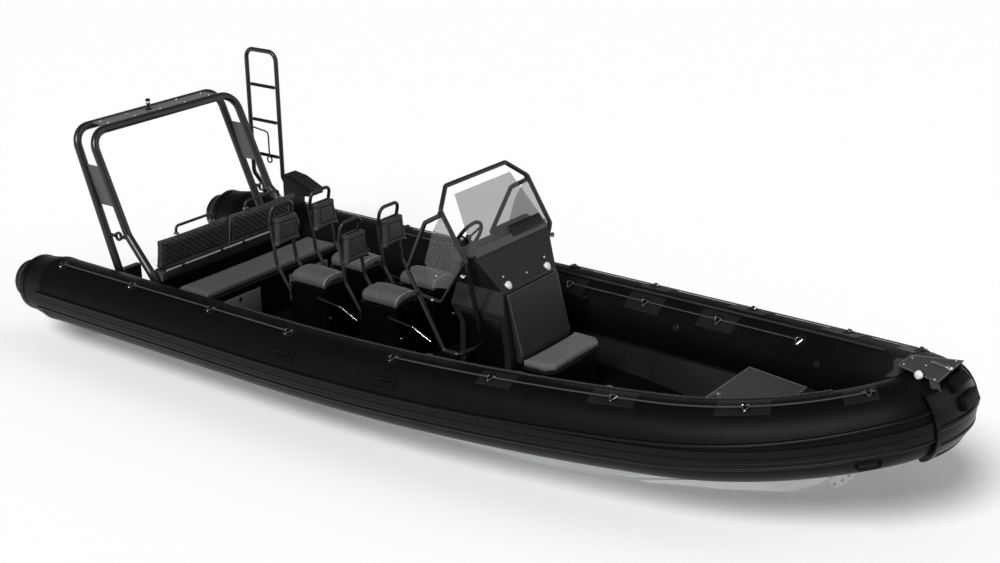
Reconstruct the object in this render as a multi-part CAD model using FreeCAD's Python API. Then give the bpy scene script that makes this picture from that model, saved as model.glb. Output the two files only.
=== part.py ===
"""Rigid inflatable boat with an aluminium V hull, air tubes, arch, seats and console.

Millimetres. +X runs to the bow, +Y to port, +Z up. The origin is on the
centreline at the waterline, at half the boat's length.
"""
import FreeCAD
import Part

import math
import os

Vec = FreeCAD.Vector

# ---- driving dimensions -------------------------------------------------

# air tubes
TUBE_RADIUS = 288.0
TUBE_AXIS_Z = 540.0
TUBE_STRAIGHT_AFT_X = -3780.0
TUBE_STRAIGHT_FWD_X = -1150.0
SHEER_TILT = 22.9            # degrees that the plane of the bent tube rises inboard
SIDE_BEND_RADIUS = 20000.0
SIDE_BEND_ANGLE = 10.1       # degrees, heading at the end of the long side bend
BOW_BEND_RADIUS = 3280.0
BOW_BEND_ANGLE = 37.9        # degrees, heading at the end of the bow bend
NOSE_RADIUS = 393.01         # of the axis where the two tubes meet round the nose
# stern cone: columns are distance aft of the straight tube and radius
STERN_CONE = [(270.0, 245.0), (430.0, 170.0), (520.0, 95.0)]

# hull
TRANSOM_X = -3700.0
DECK_Z = 240.0
DECK_THICKNESS = 12.0
COAMING_Z = 400.0
COAMING_TUCK = 40.0          # how far the side deck runs on under the tube
TRANSOM_THICKNESS = 60.0
TRANSOM_TOP_Z = 560.0
ENGINE_NOTCH_WIDTH = 760.0
ENGINE_NOTCH_Z = 330.0
ENGINE_BOLT_RADIUS = 6.6
ENGINE_BOLT_DROP = 50.0      # upper bolts below the notch's edge
# engine bolts: columns are distance below the upper pair and spacing of the pair
ENGINE_BOLTS = [(0.0, 327.0), (203.0, 251.0)]
# hull stations: columns are x, keel z, chine's distance inboard of the straight tubes' axis, chine z,
# floor edge's distance inboard of it, floor rise and the width of the side deck beside the tube
HULL_STATIONS = [
    (TRANSOM_X, -330.0, 250.0, 90.0, 400.0, 0.0, 120.0),
    (-2760.0, -330.0, 250.0, 90.0, 400.0, 0.0, 120.0),
    (-2600.0, -330.0, 250.0, 90.0, 340.0, 0.0, 50.0),
    (0.0, -330.0, 255.0, 92.0, 360.0, 0.0, 50.0),
    (1300.0, -330.0, 310.0, 125.0, 520.0, 0.0, 50.0),
    (2030.0, -300.0, 410.0, 190.0, 680.0, 0.0, 50.0),
    (2560.0, -180.0, 550.0, 290.0, 800.0, 0.0, 40.0),
    (2900.0, -45.0, 680.0, 390.0, 920.0, 60.0, 40.0),
    (3210.0, 140.0, 840.0, 500.0, 1050.0, 240.0, 40.0),
]
TRANSOM_LAP = 60.0           # how far the transom board runs past the floor's edge
STEM_X = 3520.0
STEM_Z = 430.0
STEM_HALF = 60.0
STEM_DEPTH_SHARE = 0.35

# rubbing strake round the outside of the tube, degrees about the tube's axis
STRAKE_LOW = -20.0
STRAKE_HIGH = 8.0
STRAKE_THICKNESS = 14.0

# bow fittings
BOW_CAP_THICKNESS = 26.0
BOW_CAP_LOW = -80.0
BOW_CAP_HIGH = 46.0
STEP_PLATE_AFT = 190.0       # distances aft and forward of the nose's axis
STEP_PLATE_FWD = 150.0
STEP_PLATE_AFT_HALF = 107.0
STEP_PLATE_FWD_HALF = 226.0
STEP_PLATE_GAP = 10.5        # over the nose's crown
STEP_PLATE_THICKNESS = 8.0
STEP_LEG_WIDTH = 60.0
STEP_LEG_SHIFT = 60.0        # how far aft of the plate the leg stands
STEP_LEG_DEPTH = 174.0       # down from the nose's crown
NAV_LIGHT_RADIUS = 28.0
NAV_LIGHT_LENGTH = 34.0
NAV_LIGHT_ALONG = 206.0
NAV_LIGHT_RISE = 12.0        # its axis over the plate's underside
EYE_PLATE_THICKNESS = 12.0
EYE_HOLE_RADIUS = 18.0
# towing eye's outline and holes: columns are distance aft of the stem and below it
EYE_OUTLINE = [(235.0, 240.0), (220.0, 280.0), (175.0, 280.0), (65.0, 185.0), (50.0, 130.0),
               (80.0, 50.0), (130.0, 90.0)]
EYE_HOLES = [(195.0, 250.0), (135.0, 202.0), (85.0, 145.0)]

# bow locker, its plan narrows forward between the tubes
# plan: columns are x and the side's distance inboard of the straight tubes' axis
LOCKER_PLAN = [(2290.0, 623.0), (2850.0, 720.0), (3080.0, 805.0)]
LOCKER_AFT_X = LOCKER_PLAN[0][0]
LOCKER_TOP_Z = 640.0
LOCKER_WALL = 20.0
LOCKER_HINGE_GAP = 14.0
LID_THICKNESS = 20.0
LID_EDGE_GAP = 7.0
SEAT_GAP = 0.5               # between a closed lid or door and what it rests on

# hinges of the lids and doors
HINGE_RADIUS = 5.0
HINGE_PIN_RADIUS = 2.0
HINGE_LENGTH = 60.0
HINGE_END_GAP = 0.5
HINGE_INSET = 80.0           # from the ends of a lid or door to the middle of a hinge
HINGE_LEAF = 3.0
PIN_CLEARANCE = 0.05

# arch: two hoops of round tube, side by side
ARCH_TUBE_RADIUS = 37.0
ARCH_TOP_Z = 1955.0
ARCH_TUBE_GAP = 10.0         # between an arch foot and the air tube beside it
ARCH_TOP_FLARE = 21.0        # how far the top, kink and knees stand outboard of the feet
ARCH_KINK_FLARE = 31.0
ARCH_KNEE_FLARE = 64.0
ARCH_KNEE_RISE = 220.0       # heights of the bends above the air tube's axis
ARCH_FOOT_BEND_RISE = 20.0
ARCH_AFT_TOP_X = -3786.0
ARCH_AFT_KNEE_X = -3300.0
ARCH_FWD_TOP_X = -3560.0
ARCH_FWD_KINK_X = -3164.0
ARCH_FWD_KINK_Z = 1076.0
ARCH_FWD_KNEE_X = -2834.0
ARCH_CORNER_RADIUS = 170.0
ARCH_BEND_RADIUS = 120.0
ARCH_PLATE_THICKNESS = 6.0
ARCH_TOP_PLATE_RISE = 23.0   # over the top tubes' axes
ARCH_TOP_PLATE_HALF = 690.0
ARCH_SIDE_PLATE_TOP_Z = 1665.0
ARCH_SIDE_PLATE_LOW_Z = 1316.0
ARCH_BRACE_Z = 1050.0
ARCH_BRACE_RADIUS = 16.0
ARCH_RING_RADIUS = 43.0
ARCH_RING_HOLE = 25.0
ARCH_RING_HALF = 10.0
ARCH_FLANGE_RADIUS = 43.0
ARCH_FLANGE_THICKNESS = 10.0
ARCH_LIGHT_X = -3690.0
ARCH_LIGHT_Y = -75.0
ARCH_LIGHT_RADIUS = 22.0
ARCH_LIGHT_HEIGHT = 105.0

# boarding ladder, stowed upright on the port tube
LADDER_AFT_X = -3688.0
LADDER_FWD_X = -3292.0
LADDER_TOP_Z = 2318.0
LADDER_RUNG_Z = [1966.0, 1611.0, 1261.0]
LADDER_TUBE_RADIUS = 22.0
LADDER_RUNG_RADIUS = 14.0
LADDER_CORNER_RADIUS = 90.0
LADDER_SWING_OFFSET = 165.0
LADDER_PIVOT_OUT = 190.0     # outboard of the tube's axis
LADDER_PIVOT_RISE = 284.0    # above the tube's axis
LADDER_BEND_RISE = 236.0     # above the pivot
LADDER_EYE_RADIUS = 25.0
LADDER_EYE_HALF = 24.0
LADDER_PIN_RADIUS = 8.0
LADDER_LUG_THICKNESS = 10.0
LADDER_LUG_GAP = 6.0
LADDER_LUG_FOOT = 30.0
SADDLE_PLATE_THICKNESS = 6.0
SADDLE_PLATE_MARGIN = 75.0
SADDLE_PLATE_ANGLES = (44.0, 63.0)
STAY_RADIUS = 8.0
STAY_TOP_Z = 1665.0
STAY_GAP = 6.0
STAY_RING_RADIUS = 30.0

# moulded boarding step on the port tube, forward of the ladder
TUBE_STEP_X = (-3150.0, -2790.0)
TUBE_STEP_INBOARD = 120.0    # distances from the tube's axis
TUBE_STEP_OUTBOARD = 60.0
TUBE_STEP_FOOT = 110.0
TUBE_STEP_CREST = 150.0      # how far forward the flat of the tread ends
# heights over the tube's crown
TUBE_STEP_TOP = 322.0
TUBE_STEP_CREST_TOP = 300.0
TUBE_STEP_TIP_TOP = 212.0
TUBE_STEP_TIP_LOW = 157.0
TUBE_STEP_FOOT_TOP = 127.0

# stern bench
BENCH_AFT_X = -2642.0
BENCH_DEPTH = 394.0
BENCH_OVERHANG = 20.0
BENCH_TUBE_GAP = 54.0        # between the cushion's ends and the tubes' inner sides
BENCH_SIDE_OVERHANG = 73.0
BENCH_TOP_Z = 690.0
BENCH_CUSHION_THICKNESS = 80.0
BENCH_WALL = 20.0
BENCH_SHELF_Z = 580.0
BENCH_PLINTH_GAP = 133.0     # between the plinth and the cushion
BENCH_PLINTH_DEPTH = 155.0
BENCH_BACK_LOW_Z = 800.0
BENCH_BACK_TOP_Z = 1100.0
BENCH_BACK_SET = 35.0        # aft of the plinth's front
BENCH_BACK_LEAN = 45.0
BENCH_BACK_FLARE = 20.0      # how far the backs run past the cushion's ends
BENCH_BACK_THICKNESS = 75.0
BENCH_BACK_SPLIT = 12.0
BENCH_RAIL_RADIUS = 13.0
BENCH_RAIL_RISE = 66.0
BENCH_RAIL_INNER = 219.0
BENCH_RAIL_OUTER = 652.0
BENCH_RAIL_CORNER = 35.0

# jockey seats: columns are name, hoop x, centre y
JOCKEYS = [
    ("aft_starboard", -1872.0, -250.0),
    ("aft_port", -1872.0, 250.0),
    ("forward_starboard", -1072.0, -250.0),
    ("forward_port", -1072.0, 250.0),
]
POD_AFT = 200.0              # distances forward of the hoop's top
POD_FWD = 590.0
POD_HALF = 145.0
POD_TOP_Z = 800.0
POD_WALL = 12.0
POD_DOOR_THICKNESS = 14.0
POD_DOOR_EDGE = 16.0         # from the pod's outline to the door's
POD_DOOR_LAP = 12.0          # how far the door laps over its opening's rim
SADDLE_AFT = 190.0
SADDLE_FWD = 600.0
SADDLE_HALF = 160.0
SADDLE_TOP_Z = 921.0
SADDLE_SIDE_Z = 845.0
SADDLE_TOP_HALF = 75.0
HOOP_RADIUS = 15.5
HOOP_HALF = 122.0
HOOP_TOP_Z = 1440.0
# hoop's leg on the way down: columns are distance forward of its top and z
HOOP_LEG = [(-37.0, 1270.0), (22.0, 909.0), (214.0, 640.0)]
HOOP_CORNER_RADIUS = 60.0
PAD_LOW_Z = 1080.0
PAD_TOP_Z = 1342.0
PAD_LOW_BACK = 8.0
PAD_TOP_BACK = -7.0
PAD_TOP_HALF = 124.0
PAD_LOW_HALF = 156.0
PAD_THICKNESS = 62.0
PAD_BAR_Z = (1110.0, 1310.0)
PAD_BAR_HALF = 14.0

# console: its side outline, columns are x and z
CONSOLE_SIDE = [(190.0, 240.0), (700.0, 240.0), (690.0, 675.0), (598.0, 1183.0), (417.0, 1482.0),
                (200.0, 1395.0), (100.0, 1000.0), (190.0, 860.0)]
# its front outline, columns are half breadth and z
CONSOLE_FRONT = [(395.0, 240.0), (395.0, 1000.0), (365.0, 1183.0), (507.0, 1482.0), (507.0, 1500.0)]
BLANK_MARGIN = 50.0          # how far a blank runs past the outline that trims it
SCREEN_THICKNESS = 8.0
SCREEN_TOP_X = 137.0
SCREEN_TOP_Z = 1912.0
SCREEN_TOP_HALF = 365.0
SCREEN_LOW_X = 415.0
SCREEN_LOW_Z = 1482.0
SCREEN_LOW_HALF = 492.0
SCREEN_WING_THICKNESS = 6.0
SCREEN_WING_INNER = 554.0
# outline of a side wing: columns are x and z
SCREEN_WING = [(165.0, 1818.0), (57.0, 1632.0), (-23.0, 1374.0), (41.0, 1167.0), (214.0, 1196.0),
               (372.0, 1440.0), (396.0, 1473.0)]
RAIL_RADIUS = 19.0
RAIL_BEND_RADIUS = 40.0
# console rail on one side: columns are x, half breadth, z
RAIL_MAIN = [(74.0, 395.0, 1977.0), (164.0, 577.0, 1836.0), (400.0, 573.0, 1465.0), (385.0, 375.0, 790.0)]
RAIL_SIDE = [(180.0, 577.0, 1811.0), (1.0, 574.0, 1707.0), (-203.0, 562.0, 1273.0), (157.0, 570.0, 655.0),
             (300.0, 565.0, 650.0), (330.0, 375.0, 650.0)]
RAIL_BRACE = [(-95.0, 564.0, 1088.0), (140.0, 570.0, 1066.0), (372.0, 565.0, 1440.0)]
RAIL_BRACE_RADIUS = 13.0
WHEEL_X = 20.0
WHEEL_Y = -60.0
WHEEL_Z = 1430.0
WHEEL_RADIUS = 165.0
WHEEL_RIM_RADIUS = 14.0
WHEEL_TILT = 25.0
WHEEL_SPOKES = 3
WHEEL_SPOKE_RADIUS = 9.0
WHEEL_HUB_RADIUS = 36.0
WHEEL_HUB_HALF = 14.0
WHEEL_SHAFT_RADIUS = 12.0
WHEEL_SHAFT_END = 175.0
HELM_BOSS_START = 110.0
HELM_BOSS_END = 240.0
HELM_BOSS_RADIUS = 38.0
THROTTLE_Y = -330.0
THROTTLE_Z = 1300.0
THROTTLE_SIZE = (90.0, 60.0, 70.0)
THROTTLE_LEVER_RADIUS = 9.0
THROTTLE_LEVER_RISE = 130.0
THROTTLE_GRIP_RADIUS = 18.0

# seat on the front of the console
FRONT_BASE_AFT_X = 705.0
FRONT_BLANK_LAP = 20.0       # how far the seat's blanks run into the console before it trims them
FRONT_SEAT_AFT_X = 780.0
FRONT_SEAT_FWD_X = 1082.0
FRONT_SEAT_HALF = 385.0
FRONT_SEAT_TOP_Z = 660.0
FRONT_SEAT_PAD_THICKNESS = 80.0
FRONT_SEAT_CHAMFER = 70.0
FRONT_SEAT_INSET = 30.0
FRONT_SEAT_WALL = 14.0
FRONT_BACK_TOP_Z = 1178.0
FRONT_BACK_TOP_X = 636.0
FRONT_BACK_TOP_DEPTH = 70.0
FRONT_BACK_FOLD_X = 772.0
FRONT_BACK_FOLD_Z = 675.0
FRONT_BACK_HALF = 360.0
LAMP_RADIUS = 34.0
LAMP_HALF = 268.0
LAMP_Z = 1214.0
LAMP_DEPTH = 12.0

# grab lines, anchors and handles on the tubes
LINE_RADIUS = 6.0
LINE_STANDOFF = 16.0
LINE_ANGLE = 74.0
INNER_LINE_ANGLE = 128.0
ANCHOR_RADIUS = 45.0
ANCHOR_HEIGHT = 7.0
ANCHOR_EYE_RADIUS = 12.0
ANCHOR_EYE_LENGTH = 22.0
ROPE_CLEARANCE = 0.4
# lines along one side: columns are angle about the tube's axis and the anchors' x
LINES = [
    (LINE_ANGLE, [-3610.0, -2700.0, -1740.0, -860.0]),
    (LINE_ANGLE, [200.0, 1080.0, 2070.0, 3010.0, 3740.0]),
    (INNER_LINE_ANGLE, [360.0, 1170.0, 1920.0, 2740.0]),
]
LINE_TAIL = 40.0             # how far a line runs past its end anchors
HANDLE_LENGTH = 230.0
HANDLE_BASE_ANGLE = 11.0
HANDLE_BASE_HEIGHT = 10.0
HANDLE_GRIP_RADIUS = 12.0
HANDLE_GRIP_RISE = 36.0
HANDLE_GRIP_HALF = 80.0
# handles along one side: columns are angle about the tube's axis and x
HANDLES = [(35.0, -790.0), (35.0, 210.0), (-33.0, 3660.0)]

MIRROR_POINT = Vec(0, 0, 0)
MIRROR_NORMAL = Vec(0, 1, 0)


# ---- helpers ------------------------------------------------------------

def save(name, shape):
    """Write one named piece."""
    shape.exportStep("parts/" + name + ".step")


def mirrored(shape):
    """The same piece on the starboard side."""
    return shape.mirror(MIRROR_POINT, MIRROR_NORMAL)


def fused(shapes):
    """One solid from shapes that touch."""
    result = shapes[0].fuse(shapes[1:]) if len(shapes) > 1 else shapes[0]
    return result.removeSplitter()


def box(x_low, x_high, y_low, y_high, z_low, z_high):
    """A box by its limits."""
    return Part.makeBox(x_high - x_low, y_high - y_low, z_high - z_low, Vec(x_low, y_low, z_low))


def face_of(points):
    """A flat face through the points."""
    return Part.Face(Part.makePolygon(list(points) + [points[0]]))


def prism(points, direction):
    """The face through the points, pushed along a direction."""
    return face_of(points).extrude(direction)


def cylinder(start, end, radius):
    """A round bar from start to end."""
    run = end - start
    return Part.makeCylinder(radius, run.Length, start, run)


class TubeAxis:
    """The port tube's axis: a straight run, then two bends in a tilted plane and the nose."""

    def __init__(self):
        tilt = math.radians(SHEER_TILT)
        self.along = Vec(1, 0, 0)
        self.inboard = Vec(0, -math.cos(tilt), math.sin(tilt))
        self.normal = Vec(0, math.sin(tilt), math.cos(tilt))
        side_end = math.radians(SIDE_BEND_ANGLE)
        self.bends = []
        x, w, heading = TUBE_STRAIGHT_FWD_X, 0.0, 0.0
        for radius, end in ((SIDE_BEND_RADIUS, side_end), (BOW_BEND_RADIUS, math.radians(BOW_BEND_ANGLE))):
            centre_x = x - radius * math.sin(heading)
            centre_w = w + radius * math.cos(heading)
            self.bends.append((centre_x, centre_w, radius, heading, end))
            x = centre_x + radius * math.sin(end)
            w = centre_w - radius * math.cos(end)
            heading = end
        self.nose_heading = self.direction(heading)
        level = math.hypot(self.nose_heading.x, self.nose_heading.z)
        self.nose_turn = math.atan2(level, -self.nose_heading.y)
        self.half_spacing = NOSE_RADIUS * math.sin(self.nose_turn) - (self.inboard * w).y
        self.base = Vec(0, self.half_spacing, TUBE_AXIS_Z)
        self.nose_start = self.point(x, w)
        self.nose_rise = Vec(self.nose_heading.x / level, 0, self.nose_heading.z / level)
        self.nose_axis = self.nose_rise.cross(Vec(0, -1, 0))
        back = NOSE_RADIUS * math.cos(self.nose_turn)
        self.nose_centre = Vec(self.nose_start.x, 0, self.nose_start.z) - self.nose_rise * back

    def point(self, x, w):
        """A point in the bends' plane, w inboard of the straight axis."""
        return self.base + self.along * x + self.inboard * w

    def direction(self, heading):
        """The axis's direction at a heading in radians."""
        return self.along * math.cos(heading) + self.inboard * math.sin(heading)

    def at(self, x):
        """Point, direction and outboard normal of the axis where it passes x, aft of the nose."""
        if x <= TUBE_STRAIGHT_FWD_X:
            return self.point(x, 0.0), self.along, self.inboard * -1
        for centre_x, centre_w, radius, start, end in self.bends:
            if x <= centre_x + radius * math.sin(end) + 1e-6:
                break
        heading = math.asin(min(1.0, (x - centre_x) / radius))
        outboard = self.along * math.sin(heading) - self.inboard * math.cos(heading)
        return self.point(x, centre_w - radius * math.cos(heading)), self.direction(heading), outboard

    def frame(self, x, angle):
        """Axis point, direction and the outward direction at an angle up from level outboard."""
        point, along, outboard = self.at(x)
        turn = math.radians(angle + SHEER_TILT)
        return point, along, outboard * math.cos(turn) + self.normal * math.sin(turn)

    def sweep(self, face, x_from, x_to, nose=False):
        """Carry a face that stands across the axis at x_from forward to x_to, or round the nose."""
        solids = []
        if x_from < TUBE_STRAIGHT_FWD_X:
            run = Vec(min(x_to, TUBE_STRAIGHT_FWD_X) - x_from, 0, 0)
            solids.append(face.extrude(run))
            face = face.translated(run)
        for centre_x, centre_w, radius, start, end in self.bends:
            low = max(start, math.asin(max(0.0, min(1.0, (x_from - centre_x) / radius))))
            high = min(end, math.asin(max(0.0, min(1.0, (x_to - centre_x) / radius))))
            if high <= low + 1e-9:
                continue
            centre = self.point(centre_x, centre_w)
            turn = math.degrees(high - low)
            solids.append(face.revolve(centre, self.normal * -1, turn))
            face = face.rotated(centre, self.normal * -1, turn)
        if nose:
            solids.append(face.revolve(self.nose_centre, self.nose_axis, math.degrees(self.nose_turn)))
        return fused(solids)

    def nose_end_x(self):
        """The x where the nose bend starts."""
        return self.nose_start.x

    def nose_tip(self):
        """The axis's foremost point, on the centreline."""
        return self.nose_centre + self.nose_rise * NOSE_RADIUS


AXIS = TubeAxis()

# places that follow from the driving dimensions
TUBE_HALF_SPACING = AXIS.half_spacing
LADDER_PIVOT_Y = TUBE_HALF_SPACING + LADDER_PIVOT_OUT
LADDER_PIVOT_Z = TUBE_AXIS_Z + LADDER_PIVOT_RISE
BENCH_FWD_X = BENCH_AFT_X + BENCH_DEPTH
BENCH_PLINTH_FWD_X = BENCH_AFT_X - BENCH_PLINTH_GAP
BENCH_PLINTH_AFT_X = BENCH_PLINTH_FWD_X - BENCH_PLINTH_DEPTH
BENCH_CUSHION_HALF = TUBE_HALF_SPACING - TUBE_RADIUS - BENCH_TUBE_GAP
BENCH_BASE_HALF = BENCH_CUSHION_HALF - BENCH_SIDE_OVERHANG
BENCH_BACK_HALF = BENCH_CUSHION_HALF + BENCH_BACK_FLARE


def ring_sector(x, low, high, inner, outer):
    """A face across the tube at x: the band between two radii and two angles."""
    def arc(radius, angles):
        marks = []
        for angle in angles:
            point, _, outward = AXIS.frame(x, angle)
            marks.append(point + outward * radius)
        return Part.Arc(marks[0], marks[1], marks[2]).toShape()
    middle = (low + high) / 2
    outer_arc = arc(outer, (low, middle, high))
    inner_arc = arc(inner, (high, middle, low))
    first = Part.makeLine(outer_arc.Vertexes[-1].Point, inner_arc.Vertexes[0].Point)
    last = Part.makeLine(inner_arc.Vertexes[-1].Point, outer_arc.Vertexes[0].Point)
    return Part.Face(Part.Wire([outer_arc, first, inner_arc, last]))


def tube_disc(x, radius, angle=0.0, offset=0.0):
    """A disc across the tube at x, centred on the axis or off it at an angle."""
    point, along, outward = AXIS.frame(x, angle)
    return Part.Face(Part.Wire(Part.makeCircle(radius, point + outward * offset, along)))


# ---- hull, tubes and bow ------------------------------------------------

def tube_solid():
    """The port air tube with its stern cone."""
    body = AXIS.sweep(tube_disc(TUBE_STRAIGHT_AFT_X, TUBE_RADIUS), TUBE_STRAIGHT_AFT_X, AXIS.nose_end_x(), True)
    pieces = [body]
    x, radius = TUBE_STRAIGHT_AFT_X, TUBE_RADIUS
    for distance, end_radius in STERN_CONE:
        end_x = TUBE_STRAIGHT_AFT_X - distance
        start = Vec(x, TUBE_HALF_SPACING, TUBE_AXIS_Z)
        pieces.append(Part.makeCone(radius, end_radius, x - end_x, start, Vec(-1, 0, 0)))
        x, radius = end_x, end_radius
    return fused(pieces)


def hull_section(x, keel_z, chine_inset, chine_z, floor_inset, floor_rise, side_deck):
    """A closed half section of the hull at a station, port side."""
    axis_point = AXIS.at(x)[0]
    chine_half = TUBE_HALF_SPACING - chine_inset
    floor_edge = TUBE_HALF_SPACING - floor_inset
    drop = TUBE_AXIS_Z - COAMING_Z
    reach = math.sqrt(TUBE_RADIUS ** 2 - drop ** 2)
    top_z = axis_point.z - drop
    tube_side = axis_point.y - reach
    outer = max(chine_half, tube_side) + 2 * COAMING_TUCK
    floor_z = DECK_Z - DECK_THICKNESS + floor_rise
    return [Vec(x, 0, keel_z), Vec(x, chine_half, chine_z), Vec(x, outer, (chine_z + top_z) / 2),
            Vec(x, tube_side + COAMING_TUCK, top_z), Vec(x, tube_side - side_deck, top_z),
            Vec(x, floor_edge, floor_z), Vec(x, 0, floor_z)]


def hull_solid(tubes):
    """The V hull up to the deck, with the inner sides that the tubes lie against."""
    wires = []
    for station in HULL_STATIONS:
        points = hull_section(*station)
        wires.append(Part.makePolygon(points + [points[0]]))
    half = Part.makeLoft(wires, True, True)
    last = hull_section(*HULL_STATIONS[-1])
    stem_points = []
    for point in last:
        share = point.y / last[2].y
        stem_points.append(Vec(STEM_X, share * STEM_HALF, STEM_Z + (point.z - last[0].z) * STEM_DEPTH_SHARE))
    stem = Part.makeLoft([Part.makePolygon(last + [last[0]]),
                          Part.makePolygon(stem_points + [stem_points[0]])], True, True)
    side = fused([half, stem]).cut(tubes[0])
    whole = side.fuse(mirrored(side)).removeSplitter()
    return max(whole.Solids, key=lambda solid: solid.Volume)


def floor_half(x):
    """Half breadth of the hull's floor at x."""
    for (low_x, *low), (high_x, *high) in zip(HULL_STATIONS, HULL_STATIONS[1:]):
        if x <= high_x:
            share = (x - low_x) / (high_x - low_x)
            return TUBE_HALF_SPACING - low[3] - share * (high[3] - low[3])
    return TUBE_HALF_SPACING - HULL_STATIONS[-1][4]


def deck_solid():
    """The flat cockpit sole."""
    low = DECK_Z - DECK_THICKNESS
    start = TRANSOM_X + TRANSOM_THICKNESS
    marks = [start] + [row[0] for row in HULL_STATIONS if start < row[0] < LOCKER_AFT_X] + [LOCKER_AFT_X]
    port = [Vec(x, floor_half(x), low) for x in marks]
    starboard = [Vec(x, -floor_half(x), low) for x in reversed(marks)]
    return prism(port + starboard, Vec(0, 0, DECK_THICKNESS))


def transom_solid(tubes):
    """The board across the stern, notched for an outboard engine."""
    low = DECK_Z - DECK_THICKNESS
    half = floor_half(TRANSOM_X) + TRANSOM_LAP
    board = box(TRANSOM_X, TRANSOM_X + TRANSOM_THICKNESS, -half, half, low, TRANSOM_TOP_Z)
    notch_half = ENGINE_NOTCH_WIDTH / 2
    notch = box(TRANSOM_X - 1, TRANSOM_X + TRANSOM_THICKNESS + 1, -notch_half, notch_half,
                ENGINE_NOTCH_Z, TRANSOM_TOP_Z + 1)
    return board.cut(notch).cut(tubes[0]).cut(tubes[1])


def engine_bores():
    """The four bolt holes for an outboard engine, through the thickness of the transom."""
    bores = []
    for drop, spacing in ENGINE_BOLTS:
        z = ENGINE_NOTCH_Z - ENGINE_BOLT_DROP - drop
        for y in (-spacing / 2, spacing / 2):
            bores.append(cylinder(Vec(TRANSOM_X - 1, y, z), Vec(TRANSOM_X + TRANSOM_THICKNESS, y, z),
                                  ENGINE_BOLT_RADIUS))
    return bores


def main_hull():
    """Tubes, hull, deck and transom."""
    port = tube_solid()
    tubes = [port, mirrored(port)]
    save("tube_port", tubes[0])
    save("tube_starboard", tubes[1])
    hull = hull_solid(tubes)
    transom = transom_solid(tubes).cut(hull)
    for bore in engine_bores():
        transom = transom.cut(bore)
        hull = hull.cut(bore)
    save("hull", hull)
    save("deck", deck_solid())
    save("transom", transom)
    return tubes, hull


def strakes():
    """The rubbing strake round the outside of each tube."""
    outer = TUBE_RADIUS + STRAKE_THICKNESS
    face = ring_sector(TUBE_STRAIGHT_AFT_X, STRAKE_LOW, STRAKE_HIGH, TUBE_RADIUS, outer)
    strake = AXIS.sweep(face, TUBE_STRAIGHT_AFT_X, AXIS.nose_end_x())
    save("rub_strake_port", strake)
    save("rub_strake_starboard", mirrored(strake))


def bow_cap():
    """The moulded fender that wraps the nose."""
    outer = TUBE_RADIUS + BOW_CAP_THICKNESS
    face = ring_sector(AXIS.nose_end_x(), BOW_CAP_LOW, BOW_CAP_HIGH, TUBE_RADIUS, outer)
    cap = face.revolve(AXIS.nose_centre, AXIS.nose_axis, math.degrees(AXIS.nose_turn))
    cap = fused([cap, mirrored(cap)])
    save("bow_fender", cap)
    return cap


def bow_step(tubes, cap):
    """The step plate over the nose with its legs."""
    nose = AXIS.nose_tip()
    crown = nose.z + TUBE_RADIUS
    low = crown + STEP_PLATE_GAP
    aft, fwd = nose.x - STEP_PLATE_AFT, nose.x + STEP_PLATE_FWD
    plate = prism([Vec(aft, STEP_PLATE_AFT_HALF, low), Vec(fwd, STEP_PLATE_FWD_HALF, low),
                   Vec(fwd, -STEP_PLATE_FWD_HALF, low), Vec(aft, -STEP_PLATE_AFT_HALF, low)],
                  Vec(0, 0, STEP_PLATE_THICKNESS))
    leg = box(aft - STEP_LEG_SHIFT, fwd - STEP_LEG_SHIFT, -STEP_LEG_WIDTH / 2, STEP_LEG_WIDTH / 2,
              crown - STEP_LEG_DEPTH, low)
    leg = leg.cut(tubes[0]).cut(tubes[1]).cut(cap)
    leg = max(leg.Solids, key=lambda solid: solid.BoundBox.ZMax)
    save("bow_step", fused([plate, leg]).cut(cap))
    edge = Vec(fwd - aft, STEP_PLATE_AFT_HALF - STEP_PLATE_FWD_HALF, 0).normalize()
    outward = Vec(edge.y, -edge.x, 0)
    base = Vec(aft, -STEP_PLATE_AFT_HALF, low + NAV_LIGHT_RISE) + edge * NAV_LIGHT_ALONG
    light = cylinder(base, base + outward * NAV_LIGHT_LENGTH, NAV_LIGHT_RADIUS)
    save("navigation_light", light.cut(cap))


def towing_eye():
    """The drilled plate on the stem."""
    half = EYE_PLATE_THICKNESS / 2
    outline = [Vec(STEM_X - aft, -half, STEM_Z - drop) for aft, drop in EYE_OUTLINE]
    plate = prism(outline, Vec(0, EYE_PLATE_THICKNESS, 0))
    for aft, drop in EYE_HOLES:
        drill = Part.makeCylinder(EYE_HOLE_RADIUS, 4 * half, Vec(STEM_X - aft, -2 * half, STEM_Z - drop), Vec(0, 1, 0))
        plate = plate.cut(drill)
    return plate


# ---- hinges -------------------------------------------------------------

def leaf(start, end, toward, bore_gap=0.0):
    """A hinge's flat leaf, from the line start-end towards its piece, clear of the pin by bore_gap."""
    side = (end - start).cross(toward).normalize() * (HINGE_LEAF / 2)
    near = toward * (bore_gap / toward.Length)
    return prism([start + near - side, end + near - side, end + toward - side, start + toward - side], side * 2)


def hinge(centre, along, to_fixed, to_moving):
    """Fixed and moving halves of a hinge: the outer thirds carry the pin, the middle one turns on it."""
    start = centre - along * (HINGE_LENGTH / 2)
    end = centre + along * (HINGE_LENGTH / 2)
    low = centre - along * (HINGE_LENGTH / 6)
    high = centre + along * (HINGE_LENGTH / 6)
    fixed = fused([cylinder(start, low, HINGE_RADIUS), cylinder(high, end, HINGE_RADIUS),
                   cylinder(start, end, HINGE_PIN_RADIUS), leaf(start, low, to_fixed), leaf(high, end, to_fixed)])
    gap = along * HINGE_END_GAP
    bore = HINGE_PIN_RADIUS + PIN_CLEARANCE
    moving = fused([cylinder(low + gap, high - gap, HINGE_RADIUS), leaf(low + gap, high - gap, to_moving, bore)])
    return fixed, moving.cut(cylinder(start, end, bore))


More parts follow.
